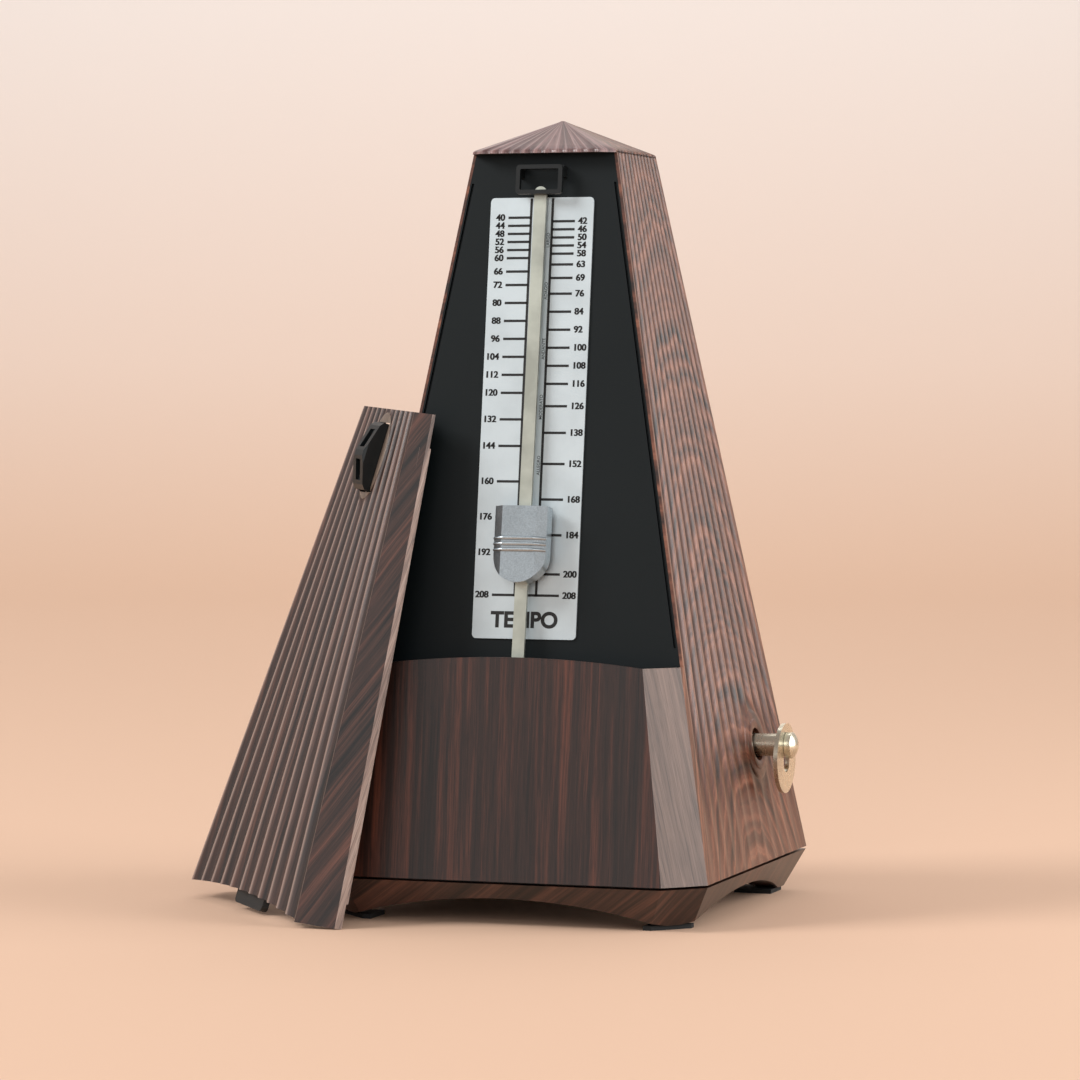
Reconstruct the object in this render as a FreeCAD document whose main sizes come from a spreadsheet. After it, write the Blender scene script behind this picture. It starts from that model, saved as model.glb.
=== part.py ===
"""A clockwork pyramid metronome, its front cover taken off and leaned against it.

Frame: millimetres, +Z up, front towards -Y. The origin is on the ground, under the case's centre. Every upright
face of the case runs to one point high above it, so a size at a height is a share of the case's half width there.
"""
import math
import os
import re

import FreeCAD
import Part

App = FreeCAD
Vec = App.Vector
os.makedirs("parts", exist_ok=True)
doc = FreeCAD.newDocument("metronome")
sheet = doc.addObject("Spreadsheet::Sheet", "Sizes")

SIZES = {
    # case
    "half_seam": 56.0, "seam_z": 12.0, "seam_gap": 0.4, "taper": 0.17739, "chamfer": 0.18, "wall": 2.6,
    "shelf_z": 70.0, "lip_rise": 2.3, "hood_z": 211.0, "total_height": 220.0, "hood_tip": 1.2, "hood_roof": 4.0,
    # black front
    "panel_share": 0.769, "panel_thick": 2.0, "panel_foot_z": 67.0, "lip_thick": 1.6, "lip_drop": 1.2,
    "panel_rim": 0.8, "rod_slot_wide": 22.0, "rod_slot_deep": 4.6, "rod_slot_y": 39.7,
    "side_slit_wide": 0.7, "side_slit_inset": 1.6, "side_slit_low": 75.0, "side_slit_high": 202.0,
    # base and feet
    "foot_half": 50.6, "pad_thick": 1.2, "arch_top": 7.5, "arch_radius": 161.0, "pad_size": 11.0, "pad_inset": 0.6,
    # posts in the case's corners for the screws that hold the base
    "post_place": 41.5, "post_radius": 4.2, "post_high": 14.0, "base_screw_radius": 1.25,
    # scale plate and catch
    "plate_half": 15.0, "plate_low": 76.6, "plate_high": 197.8, "plate_thick": 0.5,
    "catch_wide": 13.4, "catch_low": 198.2, "catch_high": 206.3, "catch_bar": 1.15, "catch_thick": 1.5,
    "catch_stand": 2.9,
    # pendulum
    "pivot_y": -42.3, "pivot_z": 52.0, "lean": 8.8, "rod_wide": 3.5, "rod_thick": 1.0, "rod_top": 150.6,
    "rod_below": 27.0, "bob_radius": 12.5, "bob_thick": 14.0, "bob_down": 24.0, "bob_back": 4.6,
    "weight_wide": 15.0, "weight_high": 21.0, "weight_thick": 6.0, "weight_back": 1.0, "weight_top_z": 112.6,
    "hub_thick": 2.2, "flag_long": 3.0,
    # movement
    "arbor_y": 21.5, "arbor_z": 44.5, "plate_x": 31.25, "sheet_thick": 1.5, "pillar_radius": 2.0,
    "frame_screw_x": 36.25, "frame_screw_front_y": -26.0, "frame_screw_back_y": 28.0, "arbor_radius": 3.0,
    "drum_radius": 17.0, "drum_half": 14.0, "drum_wall": 1.0,
    "second_y": -4.7, "second_z": 42.5, "escape_y": -21.55, "escape_z": 48.8, "running": 0.05,
    # key
    "stem_radius": 3.2, "stem_start": 43.2, "key_plate_radius": 9.85, "key_plate_thick": 1.2,
    "key_plate_x": 58.0, "key_drop": 3.65, "key_slot_long": 4.6,
    # cover
    "cover_wall": 2.0, "cover_top": 210.5, "cover_gap": 0.3, "tab_wide": 19.0, "tab_drop": 3.8,
    "latch_long": 19.5, "latch_wide": 6.5, "latch_proud": 5.0, "latch_z": 196.6,
}
for row, (alias, value) in enumerate(SIZES.items(), start=1):
    sheet.set(f"A{row}", alias)
    sheet.set(f"B{row}", str(value))
    sheet.setAlias(f"B{row}", alias)
doc.recompute()


def size(alias):
    """The number in the sheet's cell of that name."""
    return float(sheet.get(alias))


def bound(text):
    """An expression in which each alias names its cell of the sheet."""
    return re.sub(r"[a-z]\w*", lambda word: "Sizes." + word[0] if word[0] in SIZES else word[0], str(text))


def half_at(height):
    """Expression for the case's half width at a height."""
    return f"(half_seam - taper * ({height} - seam_z))"


def half(height):
    """The case's half width at a height, as a number."""
    return size("half_seam") - size("taper") * (height - size("seam_z"))


# ---------------------------------------------------------------- building blocks
counter = [0]
CORNERS = ((-1, -1), (-1, 1), (1, -1), (1, 1))
UPRIGHT = App.Rotation(Vec(1, 0, 0), 90)
ALONG_X = App.Rotation(Vec(0, 1, 0), 90)
ALONG_Y = App.Rotation(Vec(1, 0, 0), -90)
FACETS = App.Rotation(Vec(1, -1, 0), Vec(0, 0, 1), Vec(-1, -1, 0), "XYZ")


def primitive(kind, at, rotation, bindings):
    """A Part primitive with its sizes and its place bound to the sheet."""
    counter[0] += 1
    made = doc.addObject(kind, f"block{counter[0]}")
    made.Placement = App.Placement(Vec(), rotation or App.Rotation())
    for axis, text in zip("xyz", at):
        made.setExpression(f".Placement.Base.{axis}", bound(text))
    for name, text in bindings.items():
        made.setExpression(name, bound(text))
    return made


def box(low, high):
    """A box between two corners given as expressions."""
    lengths = [f"({b}) - ({a})" for a, b in zip(low, high)]
    return primitive("Part::Box", low, None, dict(zip(("Length", "Width", "Height"), lengths)))


def rod(at, radius, length, rotation=ALONG_X):
    return primitive("Part::Cylinder", at, rotation, {"Radius": radius, "Height": length})


def cone(at, low_radius, high_radius, length, rotation=ALONG_X):
    return primitive("Part::Cone", at, rotation, {"Radius1": low_radius, "Radius2": high_radius, "Height": length})


def frustum(low_z, high_z, low_half, high_half, front=None, back=None, rotation=UPRIGHT):
    """A four-sided frustum; front and back are its depths at the bottom and the top where they aren't its half."""
    front = front or (low_half, high_half)
    back = back or (low_half, high_half)
    sides = {"Ymin": "0", "Ymax": f"({high_z}) - ({low_z})",
             "Xmin": f"-({low_half})", "Xmax": low_half, "X2min": f"-({high_half})", "X2max": high_half,
             "Zmin": f"-({back[0]})", "Zmax": front[0], "Z2min": f"-({back[1]})", "Z2max": front[1]}
    return primitive("Part::Wedge", ("0", "0", low_z), rotation, sides)


def facets(low_z, high_z, low_half, high_half, inset="0"):
    """The frustum turned by 45 degrees whose two front faces cut the case's corners off."""
    def reach(half_width):
        return f"(2 - chamfer) * ({half_width}) / sqrt(2) - ({inset})"
    low, high = reach(low_half), reach(high_half)
    far = {"Ymin": "0", "Ymax": f"({high_z}) - ({low_z})", "Xmin": "-3 * half_seam", "X2min": "-3 * half_seam",
           "Zmin": "-3 * half_seam", "Z2min": "-3 * half_seam", "Xmax": low, "X2max": high, "Zmax": low,
           "Z2max": high}
    return primitive("Part::Wedge", ("0", "0", low_z), FACETS, far)


def common(*shapes):
    counter[0] += 1
    made = doc.addObject("Part::MultiCommon", f"common{counter[0]}")
    made.Shapes = list(shapes)
    return made


def fuse(*shapes):
    counter[0] += 1
    made = doc.addObject("Part::MultiFuse", f"union{counter[0]}")
    made.Shapes = list(shapes)
    return made


def cut(base, *tools):
    counter[0] += 1
    made = doc.addObject("Part::Cut", f"cut{counter[0]}")
    made.Base = base
    made.Tool = tools[0] if len(tools) == 1 else fuse(*tools)
    return made


NODES = {}


def node(name, shape):
    """Gives a finished object its node name."""
    shape.Label = name
    NODES[name] = shape
    return shape


def feature(name, shape, placement=None):
    """A node whose shape is worked out by Part's own functions from the sheet's sizes."""
    made = doc.addObject("Part::Feature", name)
    made.Shape = shape
    if placement is not None:
        made.Placement = placement
    return node(name, made)


def pyramid_block(low_z, high_z, inset="0"):
    """The case's outline between two heights, moved inwards by inset all round."""
    low, high = half_at(low_z), half_at(high_z)
    square = frustum(low_z, high_z, f"{low} - ({inset})", f"{high} - ({inset})")
    return common(square, facets(low_z, high_z, low, high, inset))


def ahead_of_panel(low_z, high_z, depth):
    """Everything in front of the panel's plane moved back by depth."""
    low, high = half_at(low_z), half_at(high_z)
    front = ("2 * half_seam", "2 * half_seam")
    back = (f"-(panel_share * {low} - ({depth}))", f"-(panel_share * {high} - ({depth}))")
    return frustum(low_z, high_z, "2 * half_seam", "2 * half_seam", front, back)


def lip_arch(gap="0"):
    """The long drum whose top is the arched edge between the lower front and the cover."""
    chord = f"({half_at('shelf_z')} * (1 - chamfer))"
    radius = f"(({chord} ^ 2 + lip_rise ^ 2) / (2 * lip_rise))"
    centre = f"shelf_z + lip_rise - {radius}"
    return rod(("0", "-2 * half_seam", centre), f"{radius} + ({gap})", "4 * half_seam", ALONG_Y)


# ---------------------------------------------------------------- case, base and black front
def build_case():
    """One moulded shell: side and back walls, the smooth lower front and the hood."""
    outer = pyramid_block("seam_z", "hood_z")
    top_half = half_at("hood_z")
    hood = common(frustum("hood_z", "total_height", top_half, "hood_tip"),
                  facets("hood_z", "total_height", top_half, "hood_tip"))
    inner = pyramid_block("seam_z - 1", "hood_z - hood_roof", "wall")
    foot_half, top_half_in = (f"{half_at(z)} - panel_rim" for z in ("shelf_z", "hood_z"))
    rebate = common(ahead_of_panel("shelf_z", "hood_z", "panel_thick"),
                    frustum("shelf_z", "hood_z", foot_half, top_half_in))
    opening = cut(fuse(ahead_of_panel("shelf_z", "hood_z", "0"), rebate), lip_arch())
    key_hole = rod(("0", "arbor_y", "arbor_z"), "4.7", "half_seam")
    boss_axis = App.Rotation(Vec(0, 1, 0), 90 - math.degrees(math.atan(size("taper"))))
    face_x = half_at("arbor_z")
    steps = [rod((f"{face_x} - 0.6", "arbor_y", "arbor_z"), radius, high, boss_axis)
             for radius, high in (("8.6", "1.1"), ("6.9", "1.7"))]
    posts = []
    for side, end in CORNERS:
        x, y = f"{side} * post_place", f"{end} * post_place"
        post = rod((x, y, "seam_z"), "post_radius", "post_high", App.Rotation())
        hole = rod((x, y, "seam_z - 1"), "base_screw_radius", "post_high - 1", App.Rotation())
        web = box((f"{x} - {6.25 - 6.25 * side}", f"{y} - 1", "seam_z"),
                  (f"{x} + {6.25 + 6.25 * side}", f"{y} + 1", "seam_z + post_high"))
        posts.append(common(cut(fuse(post, web), hole), pyramid_block("seam_z", "seam_z + post_high", "0.5")))
    walls = cut(fuse(outer, hood), inner, opening)
    node("case_shell", cut(fuse(walls, *steps, *posts), key_hole))


def build_base():
    """The skirt: a tapered block hollowed by one arch across and one arch along, leaving four feet."""
    low, high = "foot_half", "half_seam - 0.2"
    block = common(frustum("pad_thick", "seam_z - seam_gap", low, high),
                   facets("pad_thick", "seam_z - seam_gap", low, high))
    step = common(frustum("seam_z - 2", "seam_z + 1.5", "half_seam - wall - 1.2", "half_seam - wall - 1.8"),
                  facets("seam_z - 2", "seam_z + 1.5", "half_seam - wall - 2", "half_seam - wall - 2.6"))
    centre = "arch_top - arch_radius"
    across = rod(("0", "-2 * half_seam", centre), "arch_radius", "4 * half_seam", ALONG_Y)
    along = rod(("-2 * half_seam", "0", centre), "arch_radius", "4 * half_seam")
    holes = []
    for side, end in CORNERS:
        x, y = f"{side} * post_place", f"{end} * post_place"
        holes.append(rod((x, y, "0"), "1.6", "20", App.Rotation()))
        holes.append(rod((x, y, "0"), "3.0", "6", App.Rotation()))
        holes.append(rod((x, y, "seam_z - seam_gap"), "post_radius + 0.3", "4", App.Rotation()))
        holes.append(box((f"{x} - {7.25 - 7.25 * side}", f"{y} - 1.4", "seam_z - seam_gap"),
                         (f"{x} + {7.25 + 7.25 * side}", f"{y} + 1.4", "seam_z + 3")))
        frame_y = "frame_screw_front_y" if end < 0 else "frame_screw_back_y"
        holes.append(rod((f"{side} * frame_screw_x", frame_y, "5"), "1.3", "20", App.Rotation()))
    node("base", cut(fuse(block, step), across, along, *holes))


def build_pads():
    """Four rubber pads under the feet, over the screws' counterbores."""
    pads = []
    for corner in CORNERS:
        low = ["foot_half - pad_inset - pad_size" if sign > 0 else "-(foot_half - pad_inset)" for sign in corner]
        high = [f"{text} + pad_size" for text in low]
        pads.append(box((*low, "0"), (*high, "pad_thick")))
    corners = facets("0", "pad_thick", "foot_half", "foot_half", "pad_inset")
    node("foot_pads", common(fuse(*pads), corners))


def build_front_panel():
    """The black face with its lip, the slot for the rod and the slits for the cover's tongues."""
    low, high = half_at("panel_foot_z"), half_at("hood_z - 0.2")
    plane = (f"panel_share * {low}", f"panel_share * {high}")
    behind = (f"-(panel_share * {low} - panel_thick + 0.1)", f"-(panel_share * {high} - panel_thick + 0.1)")
    rim = "(panel_rim + 0.05)"
    sheet_part = frustum("panel_foot_z", "hood_z - 0.2", f"{low} - {rim}", f"{high} - {rim}", plane, behind)
    inside = pyramid_block("panel_foot_z", "shelf_z", "wall + 0.1")
    foot = fuse(common(sheet_part, inside), cut(sheet_part, box(("-99", "-99", "0"), ("99", "99", "shelf_z"))))
    edge = half_at("shelf_z")
    lip_top = "shelf_z - lip_drop"
    lip = common(box((f"-{edge}", f"-{edge}", f"{lip_top} - lip_thick"),
                     (edge, f"-(panel_share * {edge}) + 1.0", lip_top)), inside)
    slot = box(("-rod_slot_wide / 2", "-(rod_slot_y + rod_slot_deep / 2)", "60"),
               ("rod_slot_wide / 2", "-(rod_slot_y - rod_slot_deep / 2)", "75"))
    ends = ("side_slit_low", "side_slit_high")
    slits = []
    for side in (-1, 1):
        low_x, high_x = (f"{half_at(z)} - side_slit_inset" for z in ends)
        slit = frustum(*ends, "side_slit_wide / 2", "side_slit_wide / 2", ("half_seam", "half_seam"), ("0", "0"))
        slit.setExpression("Xmin", bound(f"{side} * ({low_x}) - side_slit_wide / 2"))
        slit.setExpression("Xmax", bound(f"{side} * ({low_x}) + side_slit_wide / 2"))
        slit.setExpression("X2min", bound(f"{side} * ({high_x}) - side_slit_wide / 2"))
        slit.setExpression("X2max", bound(f"{side} * ({high_x}) + side_slit_wide / 2"))
        slits.append(slit)
    groove = common(ahead_of_panel(*ends, "1.0"), fuse(*slits))
    node("front_panel", cut(fuse(foot, lip), slot, groove))


build_case()
build_base()
build_pads()
build_front_panel()

# ---------------------------------------------------------------- scale plate and catch
PANEL_TILT = math.degrees(math.atan(size("panel_share") * size("taper")))


def on_panel(x, height, depth):
    """The placement of a thing that lies on the black front, its own Z pointing out of it."""
    outwards = App.Rotation(Vec(1, 0, 0), 90 - PANEL_TILT)
    foot = Vec(x, -size("panel_share") * half(height), height)
    return App.Placement(foot + outwards.multVec(Vec(0, 0, depth)), outwards)


def lying_block(name_low, name_high, half_wide, depth, thick, radius=None):
    """A plate on the black front between two heights, with rounded corners where a radius is given."""
    slope = 1 / math.cos(math.radians(PANEL_TILT))
    length = (name_high - name_low) * slope
    block = Part.makeBox(2 * half_wide, length, thick, Vec(-half_wide, 0, 0))
    if radius:
        upright = [edge for edge in block.Edges if abs(edge.tangentAt(0).z) > 0.9]
        block = block.makeFillet(radius, upright)
    block.Placement = on_panel(0, name_low, depth)
    return block


def build_scale_and_catch():
    plate = lying_block(size("plate_low"), size("plate_high"), size("plate_half"), 0, size("plate_thick"), 1.2)
    feature("scale_plate", plate)
    low, high, wide = size("catch_low"), size("catch_high"), size("catch_wide")
    bar, thick, stand = size("catch_bar"), size("catch_thick"), size("catch_stand")
    ring = lying_block(low, high, wide / 2, stand, thick, 1.0)
    hole = lying_block(low + bar, high - bar, wide / 2 - bar, stand - 1, thick + 2, 0.4)
    legs = lying_block(high - bar - 2.0, high, wide / 2, 0, stand + 0.1)
    legs = legs.cut(lying_block(high - bar - 3.0, high + 1, wide / 2 - bar, -1, stand + 2))
    feature("pendulum_catch", ring.cut(hole).fuse(legs).removeSplitter())


build_scale_and_catch()

# ---------------------------------------------------------------- pendulum
LEAN = App.Rotation(Vec(1, 0, 0), -size("lean"))
PIVOT = App.Placement(Vec(0, size("pivot_y"), size("pivot_z")), LEAN)


def hung(shape):
    """Moves a shape from the pendulum's own frame (pivot at zero, rod along Z, arbor along Y) to its place."""
    shape.Placement = PIVOT.multiply(shape.Placement)
    return shape


def bar_along_arbor(radius, start, length, x=0.0, z=0.0):
    return Part.makeCylinder(radius, length, Vec(x, start, z), Vec(0, 1, 0))


def build_pendulum():
    rod_thick, rod_wide = size("rod_thick"), size("rod_wide")
    below, top = size("rod_below"), size("rod_top")
    strip = Part.makeBox(rod_wide, rod_thick, below + top, Vec(-rod_wide / 2, -rod_thick / 2, -below))
    tips = [edge for edge in strip.Edges if abs(edge.tangentAt(0).y) > 0.9 and edge.CenterOfMass.z > 0]
    strip = strip.makeFillet(rod_wide / 2 - 0.05, tips)
    arbor_hole = bar_along_arbor(1.0, -5, 10)
    feature("pendulum_rod", hung(strip.cut(arbor_hole)))

    deep = size("hub_thick")
    hub = bar_along_arbor(4.0, rod_thick / 2, deep).fuse(Part.makeBox(8, deep, 9, Vec(-4, rod_thick / 2, -9)))
    washer = bar_along_arbor(3.0, -rod_thick / 2 - 1.0, 1.0)
    feature("pendulum_hub", hung(Part.makeCompound([hub.cut(arbor_hole), washer.cut(arbor_hole)])))

    arbor = bar_along_arbor(1.0, -rod_thick / 2 - 1.6, 37.2)
    feature("pendulum_arbor", hung(arbor))

    flags = []
    for along, turn in ((11.0, 50.0), (31.0, -50.0)):
        flag = Part.makeBox(size("flag_long"), 2.0, 0.5, Vec(-size("flag_long"), along - 1.0, -0.25))
        collar = bar_along_arbor(1.8, along - 1.2, 2.4)
        flag.rotate(Vec(0, along, 0), Vec(0, 1, 0), turn)
        flags.append(collar.fuse(flag).cut(bar_along_arbor(1.0, along - 5, 10)))
    feature("pallets", hung(Part.makeCompound(flags)))

    radius, thick, down = size("bob_radius"), size("bob_thick"), size("bob_down")
    start = size("bob_back") - thick / 2
    bob = bar_along_arbor(radius, start, thick, 0, -down)
    bob = bob.makeChamfer(1.2, [edge for edge in bob.Edges if abs(edge.Length - 2 * math.pi * radius) < 0.01])
    slot = Part.makeBox(rod_wide, rod_thick, below + 5, Vec(-rod_wide / 2, -rod_thick / 2, -below))
    feature("pendulum_bob", hung(bob.cut(slot)))


def weight_outline(wide, high):
    """Flat top, straight sides and a half-round foot, drawn in the rod's own plane from its top edge down."""
    radius = wide / 2
    straight = high - radius
    points = [Vec(-radius, 0, 0), Vec(radius, 0, 0), Vec(radius, 0, -straight), Vec(-radius, 0, -straight)]
    foot = Part.Arc(points[2], Vec(0, 0, -high), points[3]).toShape()
    edges = [Part.makeLine(points[0], points[1]), Part.makeLine(points[1], points[2]), foot,
             Part.makeLine(points[3], points[0])]
    return Part.Face(Part.Wire(edges))


def build_weight():
    """The sliding weight: a die-cast block round the rod with bevelled flanks and three grip ridges."""
    wide, high, thick, back = (size("weight_" + word) for word in ("wide", "high", "thick", "back"))
    top = (size("weight_top_z") - size("pivot_z")) / math.cos(math.radians(size("lean")))
    block = weight_outline(wide, high).extrude(Vec(0, thick, 0))
    block.translate(Vec(0, back - thick, top))
    front = back - thick
    flank = 2.6
    for side in (-1, 1):
        bevel = Part.Face(Part.makePolygon([
            Vec(side * wide / 2, front - 1, 0), Vec(side * (wide / 2 - flank - 0.5), front - 1, 0),
            Vec(side * (wide / 2 - flank), front, 0), Vec(side * wide / 2, front + 1.8, 0),
            Vec(side * (wide / 2 + 1), front + 1.8, 0), Vec(side * (wide / 2 + 1), front - 1, 0),
            Vec(side * wide / 2, front - 1, 0)])).extrude(Vec(0, 0, high + 2))
        bevel.translate(Vec(0, 0, top - high - 1))
        block = block.cut(bevel)
    clear = 0.05
    channel = Part.makeBox(size("rod_wide") + 2 * clear, size("rod_thick") + 2 * clear, high + 2,
                           Vec(-size("rod_wide") / 2 - clear, -size("rod_thick") / 2 - clear, top - high - 1))
    pocket = Part.makeBox(size("rod_wide") + 1.4, 1.2, high - 6,
                          Vec(-size("rod_wide") / 2 - 0.7, -size("rod_thick") / 2 - clear - 1.2, top - high + 3))
    for step in range(3):
        place = Vec(-wide / 2 + flank + 0.5, front, top - high / 2 - 1.6 + 1.6 * step)
        ridge = Part.makeCylinder(0.55, wide - 2 * flank - 1.0, place, Vec(1, 0, 0))
        block = block.fuse(ridge)
    feature("tempo_weight", hung(block.cut(channel).cut(pocket).removeSplitter()))

    leaf_low = top - high + 3.2
    leaf_long = high - 6.4
    deep = size("rod_thick") / 2 + clear
    bow = Part.Arc(Vec(0, -deep - 1.15, 0), Vec(0, -deep - 0.1, leaf_long / 2), Vec(0, -deep - 1.15, leaf_long))
    inner = Part.Arc(Vec(0, -deep - 0.85, 0), Vec(0, -deep + 0.0, leaf_long / 2), Vec(0, -deep - 0.85, leaf_long))
    tips = [Part.makeLine(Vec(0, -deep - 1.15, z), Vec(0, -deep - 0.85, z)) for z in (leaf_long, 0)]
    outline = Part.Wire(Part.__sortEdges__([bow.toShape(), inner.toShape(), *tips]))
    leaf = Part.Face(outline).extrude(Vec(3.0, 0, 0))
    leaf.translate(Vec(-1.5, 0, leaf_low))
    feature("weight_spring", hung(leaf))


build_pendulum()
build_weight()


# ---------------------------------------------------------------- gears
def involute_gear(teeth, module, thin=0.10, addendum=1.0, dedendum=1.25):
    """A gear's outline in its own XY plane; each flank is drawn by three chords of the involute."""
    pitch = teeth * module / 2
    base = pitch * math.cos(math.radians(20))
    root = pitch - dedendum * module
    tip = pitch + addendum * module
    spread = math.tan(math.radians(20)) - math.radians(20)
    half_tooth = math.pi / (2 * teeth) - thin / (2 * pitch)

    def half_angle(radius):
        if radius <= base:
            return half_tooth + spread
        roll = math.acos(base / radius)
        return half_tooth + spread - (math.tan(roll) - roll)

    radii = [root, max(root + 0.01, base), pitch, (pitch + tip) / 2, tip]
    corners = []
    for tooth in range(teeth):
        middle = 2 * math.pi * tooth / teeth
        for radius in radii:
            corners.append((radius, middle - half_angle(radius)))
        for radius in reversed(radii):
            corners.append((radius, middle + half_angle(radius)))
    points = [Vec(radius * math.cos(angle), radius * math.sin(angle), 0) for radius, angle in corners]
    return Part.Face(Part.makePolygon(points + points[:1]))


def across(shape, x, y, z, turn=0.0):
    """Turns a shape drawn in XY so that its axis lies along +X at a place, and turns it about that axis."""
    spin = App.Rotation(Vec(0, 0, 1), turn)
    shape.Placement = App.Placement(Vec(x, y, z), App.Rotation(Vec(1, 1, 1), 120).multiply(spin))
    return shape


def disc(radius, thick, start=0.0):
    return Part.makeCylinder(radius, thick, Vec(0, 0, start))


def wheel(teeth, module, thick, bore, spokes, rim, hub, turn, at, **shape):
    """A spoked clock wheel, its teeth from involute_gear."""
    blank = involute_gear(teeth, module, **shape).extrude(Vec(0, 0, thick))
    inner = teeth * module / 2 - rim
    ring = disc(inner, thick).cut(disc(hub, thick))
    for arm in range(spokes):
        bar = Part.makeBox(inner + 1, 2.2, thick, Vec(0, -1.1, 0))
        bar.rotate(Vec(), Vec(0, 0, 1), 360.0 * arm / spokes)
        ring = ring.cut(bar)
    return across(blank.cut(ring).cut(disc(bore, thick)), *at, turn)


def mesh_turn(teeth, towards, offset=0.0):
    """The turn that puts a gear's tooth (or, with half a pitch as offset, its gap) on the line to its neighbour."""
    return towards + offset * 360.0 / teeth


def line_angle(from_y, from_z, to_y, to_z):
    """Angle about +X of the line from one axis to another, from +Y towards +Z."""
    return math.degrees(math.atan2(to_z - from_z, to_y - from_y))


ARBOR = (size("arbor_y"), size("arbor_z"))
SECOND = (size("second_y"), size("second_z"))
ESCAPE = (size("escape_y"), size("escape_z"))


def build_train():
    """Barrel and great wheel, second wheel, escape pinion and crown wheel."""
    radius, half_long, shell = size("drum_radius"), size("drum_half"), size("drum_wall")
    bore = size("arbor_radius") + size("running")
    drum = disc(radius, 2 * half_long).cut(disc(radius - shell, 2 * half_long - 3, 2.0)).cut(disc(bore, 60, -5))
    feature("spring_barrel", across(drum.cut(disc(radius - shell, 2, 2 * half_long - 1.0)), -half_long, *ARBOR))
    lid = disc(radius - shell, 1.0).cut(disc(bore, 3, -1))
    feature("barrel_cap", across(lid, half_long - 1.0, *ARBOR))

    to_second = line_angle(*ARBOR, *SECOND)
    collar = disc(5.0, 4.0).cut(disc(bore, 10, -2))
    great = wheel(60, 0.75, 4.0, bore, 5, 4.0, 7.0, mesh_turn(60, to_second), (16.0, *ARBOR), addendum=0.8)
    boss = across(collar.copy(), 14.0, *ARBOR)
    feature("great_wheel", great.fuse(boss).removeSplitter())

    pinion_turn = mesh_turn(10, to_second + 180, 0.5)
    pinion = involute_gear(10, 0.75, addendum=0.8, dedendum=1.2).extrude(Vec(0, 0, 8)).cut(disc(1.2, 20, -5))
    feature("second_pinion", across(pinion, 14.0, *SECOND, pinion_turn))
    to_escape = line_angle(*SECOND, *ESCAPE)
    feature("second_wheel", wheel(50, 0.6, 2.0, 1.2, 4, 3.0, 4.0, mesh_turn(50, to_escape), (-22.0, *SECOND),
                                  addendum=0.8))
    feature("second_arbor", across(disc(1.2, 61.5).fuse(disc(0.8, 65.0, -1.75)), -30.75, *SECOND))

    escape_turn = mesh_turn(10, to_escape + 180, 0.5)
    small = involute_gear(10, 0.6, addendum=0.8, dedendum=1.2).extrude(Vec(0, 0, 6)).cut(disc(1.1, 20, -5))
    feature("escape_pinion", across(small, -24.0, *ESCAPE, escape_turn))
    feature("escape_arbor", across(disc(1.1, 24.5).fuse(disc(0.8, 26.3, -1.8)), -30.75, *ESCAPE))

    teeth = 11
    crown = disc(10.0, 4.2).cut(disc(8.9, 3.2, 1.0)).cut(disc(1.1, 20, -5))
    for tooth in range(teeth):
        side = Part.makePolygon([Vec(8.0, -1.3, 4.0), Vec(8.0, 1.3, 4.0), Vec(8.0, 0.78, 6.7),
                                 Vec(8.0, 0.08, 6.7), Vec(8.0, -1.3, 4.0)])
        wedge = Part.Face(side).extrude(Vec(3, 0, 0))
        wedge = wedge.common(disc(10.0, 10)).cut(disc(8.9, 12, -1))
        wedge.rotate(Vec(), Vec(0, 0, 1), 86.0 + 360.0 * tooth / teeth)
        crown = crown.fuse(wedge)
    feature("crown_wheel", across(crown.removeSplitter(), -9.0, *ESCAPE))


build_train()


# ---------------------------------------------------------------- frame of the movement
CLICK = (9.3, 53.25)
PILLARS = ((-30.0, 17.5), (38.0, 17.5), (36.5, 65.5), (-27.5, 62.5))
FRAME_SCREWS_Y = (size("frame_screw_front_y"), size("frame_screw_back_y"))


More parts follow.
